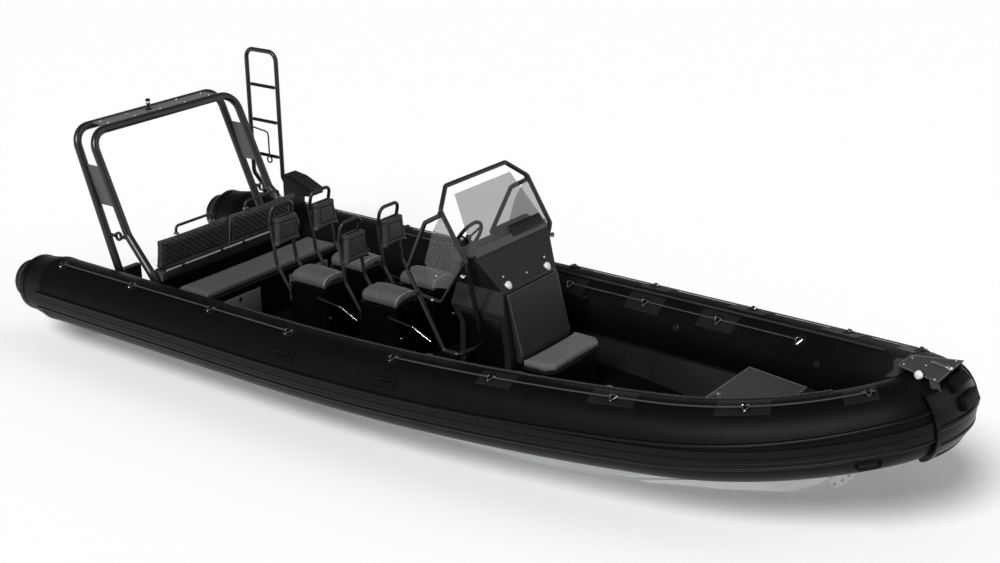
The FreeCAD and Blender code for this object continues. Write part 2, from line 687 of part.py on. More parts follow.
def with_hinges(fixed, moving, centres, along, to_fixed, to_moving):
    """Fit hinges between two pieces and return both."""
    for centre in centres:
        fixed_half, moving_half = hinge(centre, along, to_fixed, to_moving)
        fixed = fused([fixed, fixed_half])
        moving = fused([moving, moving_half])
    return fixed, moving


# ---- bow locker ---------------------------------------------------------

def plan_half(x):
    """Half breadth of the locker at x."""
    for (low_x, low_inset), (high_x, high_inset) in zip(LOCKER_PLAN, LOCKER_PLAN[1:]):
        if x <= high_x:
            break
    return TUBE_HALF_SPACING - low_inset - (x - low_x) / (high_x - low_x) * (high_inset - low_inset)


def locker_slab(x_low, x_high, inset, z_low, z_high):
    """The locker's plan between two x, drawn in by an inset, as a slab."""
    marks = [x_low] + [x for x, _ in LOCKER_PLAN if x_low < x < x_high] + [x_high]
    port = [Vec(x, plan_half(x) - inset, z_low) for x in marks]
    starboard = [Vec(point.x, -point.y, z_low) for point in reversed(port)]
    return prism(port + starboard, Vec(0, 0, z_high - z_low))


def bow_locker(hull, tubes):
    """The stowage box in the bow with its lid."""
    aft_x, hinge_x, fwd_x = (x for x, _ in LOCKER_PLAN)
    rim_z = LOCKER_TOP_Z - LID_THICKNESS
    outside = fused([locker_slab(aft_x, fwd_x, 0.0, DECK_Z, rim_z),
                     locker_slab(hinge_x + LOCKER_HINGE_GAP, fwd_x, 0.0, rim_z, LOCKER_TOP_Z)])
    inside = locker_slab(aft_x + LOCKER_WALL, hinge_x - LOCKER_WALL, LOCKER_WALL, DECK_Z + LOCKER_WALL, rim_z + 1)
    body = outside.cut(inside).cut(hull).cut(tubes[0]).cut(tubes[1])
    body = max(body.Solids, key=lambda solid: solid.Volume)
    lid = locker_slab(aft_x, hinge_x - LID_EDGE_GAP, 0.0, rim_z + SEAT_GAP, LOCKER_TOP_Z)
    axis_z = LOCKER_TOP_Z - HINGE_RADIUS
    half = plan_half(hinge_x) - HINGE_INSET
    centres = [Vec(hinge_x, side * half, axis_z) for side in (-1, 1)]
    body, lid = with_hinges(body, lid, centres, Vec(0, 1, 0), Vec(LOCKER_HINGE_GAP + 1, 0, 0),
                            Vec(-LID_EDGE_GAP - 1, 0, 0))
    save("bow_locker", body)
    save("bow_locker_lid", lid)


# ---- arch and ladder ----------------------------------------------------

def arch_legs():
    """Points of the aft and the forward hoop's port leg, from the foot up."""
    foot = TUBE_HALF_SPACING - TUBE_RADIUS - ARCH_TUBE_RADIUS - ARCH_TUBE_GAP
    bend_z = TUBE_AXIS_Z + ARCH_FOOT_BEND_RISE
    knee_z = TUBE_AXIS_Z + ARCH_KNEE_RISE
    legs = []
    for x in (ARCH_AFT_KNEE_X, ARCH_FWD_KNEE_X):
        legs.append([Vec(x, foot, COAMING_Z), Vec(x, foot, bend_z), Vec(x, foot + ARCH_KNEE_FLARE, knee_z)])
    aft, forward = legs
    aft.append(Vec(ARCH_AFT_TOP_X, foot + ARCH_TOP_FLARE, ARCH_TOP_Z))
    forward.append(Vec(ARCH_FWD_KINK_X, foot + ARCH_KINK_FLARE, ARCH_FWD_KINK_Z))
    forward.append(Vec(ARCH_FWD_TOP_X, foot + ARCH_TOP_FLARE, ARCH_TOP_Z))
    return aft, forward


def on_leg(leg, z):
    """The point where a leg passes z."""
    for low, high in zip(leg, leg[1:]):
        if z <= high.z:
            return low + (high - low) * ((z - low.z) / (high.z - low.z))
    return leg[-1]


def bent_path(points, radius, bends):
    """A round tube through the points, with its own bend radius at each inner point."""
    solids = []
    here = points[0]
    for index, bend_radius in zip(range(1, len(points) - 1), bends):
        corner = points[index]
        into = (corner - points[index - 1]).normalize()
        out = (points[index + 1] - corner).normalize()
        turn = into.getAngle(out)
        reach = bend_radius * math.tan(turn / 2)
        start = corner - into * reach
        axis = into.cross(out).normalize()
        centre = start + axis.cross(into) * bend_radius
        disc = Part.Face(Part.Wire(Part.makeCircle(radius, start, into)))
        solids.append(cylinder(here, start, radius))
        solids.append(disc.revolve(centre, axis, math.degrees(turn)))
        here = corner + out * reach
    solids.append(cylinder(here, points[-1], radius))
    return fused(solids)


def bent_tube(points, radius, bend_radius):
    """A round tube through the points, with the same tangent bend at each inner one."""
    return bent_path(points, radius, [bend_radius] * (len(points) - 2))


def arch():
    """The tube arch over the stern with its plates and light."""
    aft, forward = arch_legs()
    solids = []
    for leg in (aft, forward):
        points = leg + [Vec(point.x, -point.y, point.z) for point in reversed(leg)]
        knees = [ARCH_BEND_RADIUS] * (len(leg) - 2)
        solids.append(bent_path(points, ARCH_TUBE_RADIUS, knees + [ARCH_CORNER_RADIUS] * 2 + knees))
        for side in (-1, 1):
            foot = Vec(leg[0].x, side * leg[0].y, leg[0].z)
            solids.append(cylinder(foot, foot + Vec(0, 0, ARCH_FLANGE_THICKNESS), ARCH_FLANGE_RADIUS))
    low = on_leg(aft, ARCH_BRACE_Z)
    high = on_leg(forward, ARCH_BRACE_Z)
    middle = (low + high) * 0.5
    half_ring = Vec(0, ARCH_RING_HALF, 0)
    brace = fused([cylinder(low, high, ARCH_BRACE_RADIUS),
                   cylinder(middle - half_ring, middle + half_ring, ARCH_RING_RADIUS)])
    brace = brace.cut(cylinder(middle - half_ring * 3, middle + half_ring * 3, ARCH_RING_HOLE))
    frame = fused(solids + [brace, mirrored(brace)])
    save("arch_frame", frame)

    half_plate = ARCH_PLATE_THICKNESS / 2
    plate_z = ARCH_TOP_Z + ARCH_TOP_PLATE_RISE
    top = box(ARCH_AFT_TOP_X, ARCH_FWD_TOP_X, -ARCH_TOP_PLATE_HALF, ARCH_TOP_PLATE_HALF,
              plate_z - half_plate, plate_z + half_plate).cut(frame)
    save("arch_top_plate", top)
    corners = [on_leg(aft, ARCH_SIDE_PLATE_LOW_Z), on_leg(forward, ARCH_SIDE_PLATE_LOW_Z),
               on_leg(forward, ARCH_SIDE_PLATE_TOP_Z), on_leg(aft, ARCH_SIDE_PLATE_TOP_Z)]
    plane_y = sum(point.y for point in corners) / len(corners) - half_plate
    plate = prism([Vec(point.x, plane_y, point.z) for point in corners], Vec(0, ARCH_PLATE_THICKNESS, 0)).cut(frame)
    save("arch_side_plates", Part.makeCompound([plate, mirrored(plate)]))
    foot = Vec(ARCH_LIGHT_X, ARCH_LIGHT_Y, plate_z + half_plate)
    save("arch_light", cylinder(foot, foot + Vec(0, 0, ARCH_LIGHT_HEIGHT), ARCH_LIGHT_RADIUS))
    return frame


def ladder():
    """The boarding ladder, upright, with the eyes that it swings on."""
    plane_y = LADDER_PIVOT_Y - LADDER_SWING_OFFSET
    bend_z = LADDER_PIVOT_Z + LADDER_BEND_RISE
    points = []
    for x, heights in ((LADDER_AFT_X, (bend_z, LADDER_TOP_Z)), (LADDER_FWD_X, (LADDER_TOP_Z, bend_z))):
        points += [Vec(x, plane_y, z) for z in heights]
    points = [Vec(LADDER_AFT_X, LADDER_PIVOT_Y, LADDER_PIVOT_Z)] + points
    points.append(Vec(LADDER_FWD_X, LADDER_PIVOT_Y, LADDER_PIVOT_Z))
    solids = [bent_tube(points, LADDER_TUBE_RADIUS, LADDER_CORNER_RADIUS)]
    for z in LADDER_RUNG_Z:
        solids.append(cylinder(Vec(LADDER_AFT_X, plane_y, z), Vec(LADDER_FWD_X, plane_y, z), LADDER_RUNG_RADIUS))
    bores = []
    for x in (LADDER_AFT_X, LADDER_FWD_X):
        start = Vec(x - LADDER_EYE_HALF, LADDER_PIVOT_Y, LADDER_PIVOT_Z)
        end = Vec(x + LADDER_EYE_HALF, LADDER_PIVOT_Y, LADDER_PIVOT_Z)
        solids.append(cylinder(start, end, LADDER_EYE_RADIUS))
        bores.append(cylinder(start, end, LADDER_PIN_RADIUS + PIN_CLEARANCE))
    frame = fused(solids)
    for bore in bores:
        frame = frame.cut(bore)
    save("boarding_ladder", frame)


def ladder_bracket():
    """The saddle plate on the port tube with the lugs and pins that carry the ladder."""
    low_x = LADDER_AFT_X - SADDLE_PLATE_MARGIN
    run = Vec(LADDER_FWD_X + SADDLE_PLATE_MARGIN - low_x, 0, 0)
    low, high = SADDLE_PLATE_ANGLES
    solids = [ring_sector(low_x, low, high, TUBE_RADIUS, TUBE_RADIUS + SADDLE_PLATE_THICKNESS).extrude(run)]
    gap = LADDER_EYE_HALF + LADDER_LUG_GAP
    outline = [Vec(0, LADDER_PIVOT_Y - LADDER_EYE_RADIUS, LADDER_PIVOT_Z),
               Vec(0, LADDER_PIVOT_Y + LADDER_EYE_RADIUS, LADDER_PIVOT_Z),
               Vec(0, LADDER_PIVOT_Y + LADDER_LUG_FOOT, TUBE_AXIS_Z),
               Vec(0, LADDER_PIVOT_Y - LADDER_LUG_FOOT, TUBE_AXIS_Z)]
    for x in (LADDER_AFT_X, LADDER_FWD_X):
        for start in (x - gap - LADDER_LUG_THICKNESS, x + gap):
            shift = Vec(start, 0, 0)
            solids.append(prism([point + shift for point in outline], Vec(LADDER_LUG_THICKNESS, 0, 0)))
            pivot = Vec(start, LADDER_PIVOT_Y, LADDER_PIVOT_Z)
            solids.append(cylinder(pivot, pivot + Vec(LADDER_LUG_THICKNESS, 0, 0), LADDER_EYE_RADIUS))
        reach = gap + LADDER_LUG_THICKNESS
        solids.append(cylinder(Vec(x - reach, LADDER_PIVOT_Y, LADDER_PIVOT_Z),
                               Vec(x + reach, LADDER_PIVOT_Y, LADDER_PIVOT_Z), LADDER_PIN_RADIUS))
    core = cylinder(Vec(low_x - 10, TUBE_HALF_SPACING, TUBE_AXIS_Z),
                    Vec(low_x + run.x + 10, TUBE_HALF_SPACING, TUBE_AXIS_Z), TUBE_RADIUS)
    save("ladder_bracket", fused(solids).cut(core))


def ladder_stay(frame):
    """The rod from the arch that the upright ladder leans on, with its ring end."""
    leg = arch_legs()[1]
    top = on_leg(leg, STAY_TOP_Z)
    rung_z = LADDER_RUNG_Z[-1]
    rest_y = LADDER_PIVOT_Y - LADDER_SWING_OFFSET - LADDER_RUNG_RADIUS - STAY_GAP - STAY_RADIUS
    end = Vec(top.x, rest_y, rung_z)
    centre = end - Vec(0, 0, STAY_RING_RADIUS)
    rod = bent_tube([top, Vec(top.x, rest_y, top.z - (rest_y - top.y) / 2), end], STAY_RADIUS, 60.0)
    ring = Part.makeTorus(STAY_RING_RADIUS, STAY_RADIUS, centre, Vec(0, 1, 0))
    save("ladder_stay", fused([rod, ring]).cut(frame))


def tube_step(tube):
    """The moulded boarding step: a foot on the port tube's crown and a tread that reaches forward."""
    low_x, high_x = TUBE_STEP_X
    low_y = TUBE_HALF_SPACING - TUBE_STEP_INBOARD
    crown = TUBE_AXIS_Z + TUBE_RADIUS
    foot_x = low_x + TUBE_STEP_FOOT
    outline = [Vec(low_x, low_y, TUBE_AXIS_Z), Vec(foot_x, low_y, TUBE_AXIS_Z),
               Vec(foot_x, low_y, crown + TUBE_STEP_FOOT_TOP), Vec(high_x, low_y, crown + TUBE_STEP_TIP_LOW),
               Vec(high_x, low_y, crown + TUBE_STEP_TIP_TOP),
               Vec(low_x + TUBE_STEP_CREST, low_y, crown + TUBE_STEP_CREST_TOP),
               Vec(low_x, low_y, crown + TUBE_STEP_TOP)]
    step = prism(outline, Vec(0, TUBE_STEP_INBOARD + TUBE_STEP_OUTBOARD, 0)).cut(tube)
    save("tube_step", max(step.Solids, key=lambda solid: solid.BoundBox.ZMax))


# ---- seats --------------------------------------------------------------

def bench():
    """The stern bench: base with its locker, lid cushion, bolster, backs and rails."""
    rim_z = BENCH_TOP_Z - BENCH_CUSHION_THICKNESS
    wall_aft = BENCH_AFT_X + BENCH_OVERHANG
    wall_fwd = BENCH_FWD_X - BENCH_OVERHANG
    outline = [(BENCH_PLINTH_AFT_X, DECK_Z), (wall_fwd, DECK_Z), (wall_fwd, rim_z), (wall_aft, rim_z),
               (wall_aft, BENCH_SHELF_Z), (BENCH_PLINTH_FWD_X, BENCH_SHELF_Z), (BENCH_PLINTH_FWD_X, BENCH_TOP_Z),
               (BENCH_PLINTH_AFT_X, BENCH_TOP_Z)]
    base = prism([Vec(x, -BENCH_BASE_HALF, z) for x, z in outline], Vec(0, 2 * BENCH_BASE_HALF, 0))
    inner_half = BENCH_BASE_HALF - BENCH_WALL
    base = base.cut(box(wall_aft + BENCH_WALL, wall_fwd - BENCH_WALL, -inner_half, inner_half,
                        DECK_Z + BENCH_WALL, rim_z + 1))
    cushion = box(BENCH_AFT_X, BENCH_FWD_X, -BENCH_CUSHION_HALF, BENCH_CUSHION_HALF, rim_z + SEAT_GAP, BENCH_TOP_Z)
    axis_gap = HINGE_RADIUS + 2 * SEAT_GAP
    centres = [Vec(wall_aft - axis_gap, side * (BENCH_BASE_HALF - HINGE_INSET), rim_z + SEAT_GAP - axis_gap)
               for side in (-1, 1)]
    base, cushion = with_hinges(base, cushion, centres, Vec(0, 1, 0), Vec(axis_gap + 1, 0, 0),
                                Vec(0, 0, axis_gap + 1))
    save("bench_base", base)
    save("bench_cushion", cushion)
    save("bench_bolster", box(BENCH_PLINTH_AFT_X, BENCH_PLINTH_FWD_X, -BENCH_CUSHION_HALF, BENCH_CUSHION_HALF,
                              BENCH_TOP_Z, BENCH_BACK_LOW_Z))

    low_x = BENCH_PLINTH_FWD_X - BENCH_BACK_SET
    high_x = low_x + BENCH_BACK_LEAN
    outline = [(low_x - BENCH_BACK_THICKNESS, BENCH_BACK_LOW_Z), (low_x, BENCH_BACK_LOW_Z),
               (high_x, BENCH_BACK_TOP_Z), (high_x - BENCH_BACK_THICKNESS, BENCH_BACK_TOP_Z)]
    inner = BENCH_BACK_SPLIT / 2
    back = prism([Vec(x, inner, z) for x, z in outline], Vec(0, BENCH_BACK_HALF - inner, 0))
    save("bench_backs", Part.makeCompound([back, mirrored(back)]))
    rail_x = high_x - BENCH_BACK_THICKNESS / 2
    top_z = BENCH_BACK_TOP_Z + BENCH_RAIL_RISE
    rail = bent_tube([Vec(rail_x, BENCH_RAIL_INNER, BENCH_BACK_TOP_Z), Vec(rail_x, BENCH_RAIL_INNER, top_z),
                      Vec(rail_x, BENCH_RAIL_OUTER, top_z), Vec(rail_x, BENCH_RAIL_OUTER, BENCH_BACK_TOP_Z)],
                     BENCH_RAIL_RADIUS, BENCH_RAIL_CORNER)
    save("bench_rails", Part.makeCompound([rail, mirrored(rail)]))


def jockey_pod(name, hoop_x, centre_y):
    """The hollow pod under a jockey seat and its front door, hung on the inboard edge."""
    aft, front = hoop_x + POD_AFT, hoop_x + POD_FWD
    outside = box(aft, front, centre_y - POD_HALF, centre_y + POD_HALF, DECK_Z, POD_TOP_Z)
    room = outside.copy()
    inner = POD_HALF - POD_WALL
    pod = outside.cut(box(aft + POD_WALL, front - POD_WALL, centre_y - inner, centre_y + inner,
                          DECK_Z + POD_WALL, POD_TOP_Z - POD_WALL))
    rim = POD_DOOR_EDGE + POD_DOOR_LAP
    pod = pod.cut(box(front - 2 * POD_WALL, front + 1, centre_y - POD_HALF + rim, centre_y + POD_HALF - rim,
                      DECK_Z + rim, POD_TOP_Z - rim))
    inboard = -1 if centre_y > 0 else 1
    door_half = POD_HALF - POD_DOOR_EDGE
    door = box(front + SEAT_GAP, front + SEAT_GAP + POD_DOOR_THICKNESS, centre_y - door_half, centre_y + door_half,
               DECK_Z + POD_DOOR_EDGE, POD_TOP_Z - POD_DOOR_EDGE)
    reach = HINGE_RADIUS + 2 * SEAT_GAP
    axis_x = front + reach
    axis_y = centre_y + inboard * (door_half + reach)
    centres = [Vec(axis_x, axis_y, z) for z in (DECK_Z + POD_DOOR_EDGE + HINGE_INSET, POD_TOP_Z - POD_DOOR_EDGE - HINGE_INSET)]
    pod, door = with_hinges(pod, door, centres, Vec(0, 0, 1), Vec(-reach - 1, 0, 0), Vec(0, -inboard * (reach + 1), 0))
    save("pod_" + name, pod)
    save("pod_door_" + name, door)
    return room


def jockey_seat(name, hoop_x, centre_y, room):
    """The saddle, the hoop on the pod's back and the pad that it carries."""
    profile = [(-SADDLE_HALF, POD_TOP_Z), (SADDLE_HALF, POD_TOP_Z), (SADDLE_HALF, SADDLE_SIDE_Z),
               (SADDLE_TOP_HALF, SADDLE_TOP_Z), (-SADDLE_TOP_HALF, SADDLE_TOP_Z), (-SADDLE_HALF, SADDLE_SIDE_Z)]
    saddle = prism([Vec(hoop_x + SADDLE_AFT, centre_y + y, z) for y, z in profile], Vec(SADDLE_FWD - SADDLE_AFT, 0, 0))
    save("saddle_" + name, saddle)

    profile = [(-PAD_LOW_HALF, PAD_LOW_Z), (PAD_LOW_HALF, PAD_LOW_Z), (PAD_TOP_HALF, PAD_TOP_Z),
               (-PAD_TOP_HALF, PAD_TOP_Z)]
    wires = []
    for depth in (0.0, PAD_THICKNESS):
        points = []
        for y, z in profile:
            back = PAD_LOW_BACK if z == PAD_LOW_Z else PAD_TOP_BACK
            points.append(Vec(hoop_x + back + depth, centre_y + y, z))
        wires.append(Part.makePolygon(points + [points[0]]))
    pad = Part.makeLoft(wires, True, True)
    save("pad_" + name, pad)

    leg = [Vec(hoop_x, centre_y + HOOP_HALF, HOOP_TOP_Z)]
    leg += [Vec(hoop_x + x, centre_y + HOOP_HALF, z) for x, z in HOOP_LEG]
    points = list(reversed(leg)) + [Vec(point.x, 2 * centre_y - point.y, point.z) for point in leg]
    solids = [bent_tube(points, HOOP_RADIUS, HOOP_CORNER_RADIUS)]
    for z in PAD_BAR_Z:
        at = on_leg(list(reversed(leg)), z)
        bar = box(at.x - PAD_BAR_HALF / 2, hoop_x + PAD_LOW_BACK + 1, centre_y - HOOP_HALF, centre_y + HOOP_HALF,
                  z - PAD_BAR_HALF, z + PAD_BAR_HALF)
        solids.append(bar)
    save("hoop_" + name, fused(solids).cut(pad).cut(room))


def jockey_seats():
    """The four straddle seats on the centre of the cockpit."""
    for name, hoop_x, centre_y in JOCKEYS:
        room = jockey_pod(name, hoop_x, centre_y)
        jockey_seat(name, hoop_x, centre_y, room)


# ---- console ------------------------------------------------------------

def console_solid():
    """The console: its side outline crossed with its front outline."""
    reach = max(half for half, _ in CONSOLE_FRONT) + BLANK_MARGIN
    length = max(x for x, _ in CONSOLE_SIDE) + BLANK_MARGIN
    side = prism([Vec(x, -reach, z) for x, z in CONSOLE_SIDE], Vec(0, 2 * reach, 0))
    port = [Vec(0, half, z) for half, z in CONSOLE_FRONT]
    starboard = [Vec(0, -half, z) for half, z in reversed(CONSOLE_FRONT)]
    return side.common(prism(port + starboard, Vec(length, 0, 0)))


def wheel_axis():
    """Centre of the wheel and the direction of its shaft into the dash."""
    tilt = math.radians(WHEEL_TILT)
    return Vec(WHEEL_X, WHEEL_Y, WHEEL_Z), Vec(math.cos(tilt), 0, -math.sin(tilt))


def steering_wheel():
    """Rim, spokes, hub and shaft."""
    centre, inward = wheel_axis()
    solids = [Part.makeTorus(WHEEL_RADIUS, WHEEL_RIM_RADIUS, centre, inward),
              cylinder(centre - inward * WHEEL_HUB_HALF, centre + inward * WHEEL_HUB_HALF, WHEEL_HUB_RADIUS),
              cylinder(centre, centre + inward * WHEEL_SHAFT_END, WHEEL_SHAFT_RADIUS)]
    across_wheel = Vec(0, 1, 0)
    up_wheel = inward.cross(across_wheel)
    for index in range(WHEEL_SPOKES):
        turn = 2 * math.pi * index / WHEEL_SPOKES - math.pi / 2
        spoke = across_wheel * math.cos(turn) + up_wheel * math.sin(turn)
        solids.append(cylinder(centre, centre + spoke * WHEEL_RADIUS, WHEEL_SPOKE_RADIUS))
    return fused(solids)


def rails():
    """The bent rail round the screen and down both sides."""
    def side_points(rows, side):
        return [Vec(x, side * half, z) for x, half, z in rows]
    main = list(reversed(side_points(RAIL_MAIN, 1))) + side_points(RAIL_MAIN, -1)
    solids = [bent_tube(main, RAIL_RADIUS, RAIL_BEND_RADIUS)]
    for side in (-1, 1):
        solids.append(bent_tube(side_points(RAIL_SIDE, side), RAIL_RADIUS, RAIL_BEND_RADIUS))
        solids.append(bent_tube(side_points(RAIL_BRACE, side), RAIL_BRACE_RADIUS, RAIL_BEND_RADIUS))
    return fused(solids)


def screen(body, rail):
    """The raked glass and its two side wings."""
    low = [Vec(SCREEN_LOW_X, -SCREEN_LOW_HALF, SCREEN_LOW_Z), Vec(SCREEN_LOW_X, SCREEN_LOW_HALF, SCREEN_LOW_Z)]
    high = [Vec(SCREEN_TOP_X, SCREEN_TOP_HALF, SCREEN_TOP_Z), Vec(SCREEN_TOP_X, -SCREEN_TOP_HALF, SCREEN_TOP_Z)]
    slope = (high[0] - low[1])
    normal = Vec(0, 1, 0).cross(Vec(slope.x, 0, slope.z)).normalize() * SCREEN_THICKNESS
    pane = prism(low + high, normal).cut(body)
    save("windscreen", max(pane.Solids, key=lambda solid: solid.Volume))
    wing = prism([Vec(x, SCREEN_WING_INNER, z) for x, z in SCREEN_WING], Vec(0, SCREEN_WING_THICKNESS, 0))
    wings = []
    for piece in (wing, mirrored(wing)):
        wings.append(max(piece.cut(rail).cut(body).Solids, key=lambda solid: solid.Volume))
    save("screen_wings", Part.makeCompound(wings))


def throttle(body):
    """The engine control on the dash with its lever."""
    length, width, height = THROTTLE_SIZE
    dash_x = CONSOLE_SIDE[-3][0]
    housing = box(dash_x - length, dash_x, THROTTLE_Y - width / 2, THROTTLE_Y + width / 2,
                  THROTTLE_Z - height / 2, THROTTLE_Z + height / 2).cut(body)
    foot = Vec(dash_x - length + THROTTLE_GRIP_RADIUS, THROTTLE_Y, THROTTLE_Z)
    top = foot + Vec(-THROTTLE_LEVER_RISE / 3, 0, THROTTLE_LEVER_RISE)
    half = Vec(0, width / 2, 0)
    lever = [cylinder(foot, top, THROTTLE_LEVER_RADIUS), cylinder(top - half, top + half, THROTTLE_GRIP_RADIUS)]
    save("throttle", fused([housing] + lever))


def front_seat(body):
    """The locker seat against the front of the console: base, lid cushion and back."""
    rim_z = FRONT_SEAT_TOP_Z - FRONT_SEAT_PAD_THICKNESS
    half = FRONT_SEAT_HALF - FRONT_SEAT_INSET
    wall_fwd = FRONT_SEAT_FWD_X - FRONT_SEAT_INSET
    cut_in = FRONT_SEAT_CHAMFER

    def plan(aft, fwd, breadth, z_low, z_high):
        points = [Vec(aft, -breadth, z_low), Vec(fwd - cut_in, -breadth, z_low), Vec(fwd, -breadth + cut_in, z_low),
                  Vec(fwd, breadth - cut_in, z_low), Vec(fwd - cut_in, breadth, z_low), Vec(aft, breadth, z_low)]
        return prism(points, Vec(0, 0, z_high - z_low))

    base = plan(FRONT_BASE_AFT_X - FRONT_BLANK_LAP, wall_fwd, half, DECK_Z, rim_z).cut(body)
    room = plan(FRONT_SEAT_AFT_X + FRONT_SEAT_WALL, wall_fwd - FRONT_SEAT_WALL, half - FRONT_SEAT_WALL,
                DECK_Z + FRONT_SEAT_WALL, rim_z + 1)
    base = base.cut(room)
    pad = plan(FRONT_SEAT_AFT_X, FRONT_SEAT_FWD_X, FRONT_SEAT_HALF, rim_z + SEAT_GAP, FRONT_SEAT_TOP_Z)
    axis_gap = HINGE_RADIUS + 2 * SEAT_GAP
    inset = half - cut_in - HINGE_INSET
    centres = [Vec(wall_fwd + axis_gap, side * inset, rim_z + SEAT_GAP - axis_gap) for side in (-1, 1)]
    base, pad = with_hinges(base, pad, centres, Vec(0, 1, 0), Vec(-axis_gap - 1, 0, 0), Vec(0, 0, axis_gap + 1))
    save("front_seat_base", base)
    save("front_seat_cushion", pad)
    outline = [(FRONT_BACK_TOP_X - FRONT_BACK_TOP_DEPTH, FRONT_BACK_TOP_Z), (FRONT_BACK_TOP_X, FRONT_BACK_TOP_Z),
               (FRONT_BACK_FOLD_X, FRONT_BACK_FOLD_Z), (FRONT_BACK_FOLD_X, rim_z + SEAT_GAP),
               (FRONT_BASE_AFT_X - FRONT_BLANK_LAP, rim_z + SEAT_GAP)]
    back = prism([Vec(x, -FRONT_BACK_HALF, z) for x, z in outline], Vec(0, 2 * FRONT_BACK_HALF, 0)).cut(body)
    save("front_seat_back", max(back.Solids, key=lambda solid: solid.Volume))


def lamps():
    """The two round lamps on the console's front panel."""
    (low_x, low_z), (high_x, high_z) = CONSOLE_SIDE[3], CONSOLE_SIDE[4]
    slope = Vec(high_x - low_x, 0, high_z - low_z)
    normal = Vec(0, 1, 0).cross(slope).normalize()
    x = low_x + (LAMP_Z - low_z) / (high_z - low_z) * (high_x - low_x)
    discs = []
    for side in (-1, 1):
        base = Vec(x, side * LAMP_HALF, LAMP_Z)
        discs.append(cylinder(base, base + normal * LAMP_DEPTH, LAMP_RADIUS))
    return Part.makeCompound(discs)


def console():
    """The steering console and all that it carries."""
    body = console_solid()
    front_seat(body)
    centre, inward = wheel_axis()
    boss = cylinder(centre + inward * HELM_BOSS_START, centre + inward * HELM_BOSS_END, HELM_BOSS_RADIUS)
    bore = cylinder(centre, centre + inward * (WHEEL_SHAFT_END + 5.0), WHEEL_SHAFT_RADIUS + PIN_CLEARANCE)
    rail = rails().cut(body)
    rail = max(rail.Solids, key=lambda solid: solid.Volume)
    screen(body, rail)
    throttle(body)
    save("console_rail", rail)
    save("console_body", fused([body, boss]).cut(bore))
    save("steering_wheel", steering_wheel())
    save("console_lamps", lamps())


# ---- fittings on the tubes ----------------------------------------------

def anchor(x, angle):
    """A round anchor patch with the eye that a line runs through."""
    point, along, outward = AXIS.frame(x, angle)
    line_centre = point + outward * (TUBE_RADIUS + LINE_STANDOFF)
    patch = cylinder(point + outward * (TUBE_RADIUS - 20.0), point + outward * (TUBE_RADIUS + ANCHOR_HEIGHT),
                     ANCHOR_RADIUS)
    half = along * (ANCHOR_EYE_LENGTH / 2)
    eye = cylinder(line_centre - half, line_centre + half, ANCHOR_EYE_RADIUS)
    bore = cylinder(line_centre - half * 2, line_centre + half * 2, LINE_RADIUS + ROPE_CLEARANCE)
    return fused([patch, eye]).cut(bore)


def handle(x, angle):
    """A lifting handle: base patch, two posts and the grip along the tube."""
    half_length = HANDLE_LENGTH / 2
    base = AXIS.sweep(ring_sector(x - half_length, angle - HANDLE_BASE_ANGLE, angle + HANDLE_BASE_ANGLE,
                                  TUBE_RADIUS - 20.0, TUBE_RADIUS + HANDLE_BASE_HEIGHT),
                      x - half_length, x + half_length)
    point, along, outward = AXIS.frame(x, angle)
    low = TUBE_RADIUS + HANDLE_BASE_HEIGHT - 4.0
    rise = TUBE_RADIUS + HANDLE_GRIP_RISE
    points = [point - along * HANDLE_GRIP_HALF + outward * low, point - along * HANDLE_GRIP_HALF + outward * rise,
              point + along * HANDLE_GRIP_HALF + outward * rise, point + along * HANDLE_GRIP_HALF + outward * low]
    return fused([base, bent_tube(points, HANDLE_GRIP_RADIUS, 2 * HANDLE_GRIP_RADIUS)])


def tube_fittings(tubes):
    """Grab lines, their anchors and the handles, on both sides."""
    fittings = []
    for angle, places in LINES:
        fittings += [anchor(x, angle) for x in places]
    fittings += [handle(x, angle) for angle, x in HANDLES]
    port = Part.makeCompound([piece.cut(tubes[0]) for piece in fittings])
    lines = []
    for angle, places in LINES:
        start, end = places[0] - LINE_TAIL, places[-1] + LINE_TAIL
        lines.append(AXIS.sweep(tube_disc(start, LINE_RADIUS, angle, TUBE_RADIUS + LINE_STANDOFF), start, end))
    rope = Part.makeCompound(lines)
    save("tube_fittings_port", port)
    save("tube_fittings_starboard", mirrored(port))
    save("grab_lines_port", rope)
    save("grab_lines_starboard", mirrored(rope))


if __name__ == "__main__":
    os.makedirs("parts", exist_ok=True)
    TUBES, HULL = main_hull()
    strakes()
    bow_step(TUBES, bow_cap())
    save("towing_eye", towing_eye().cut(HULL))
    bow_locker(HULL, TUBES)
    ladder_stay(arch())
    ladder()
    ladder_bracket()
    tube_step(TUBES[0])
    bench()
    jockey_seats()
    console()
    tube_fittings(TUBES)
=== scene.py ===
"""Dresses a rigid inflatable boat: finishes, upholstery, lines, fittings, light and camera.

Metres. +X runs to the bow, +Y to port and +Z up, from the centreline at the waterline.
"""
import logging
import math
from collections.abc import Callable
from dataclasses import dataclass
from enum import Enum
from functools import cache

import bmesh
import bpy
from mathutils import Matrix, Vector
from mathutils.bvhtree import BVHTree


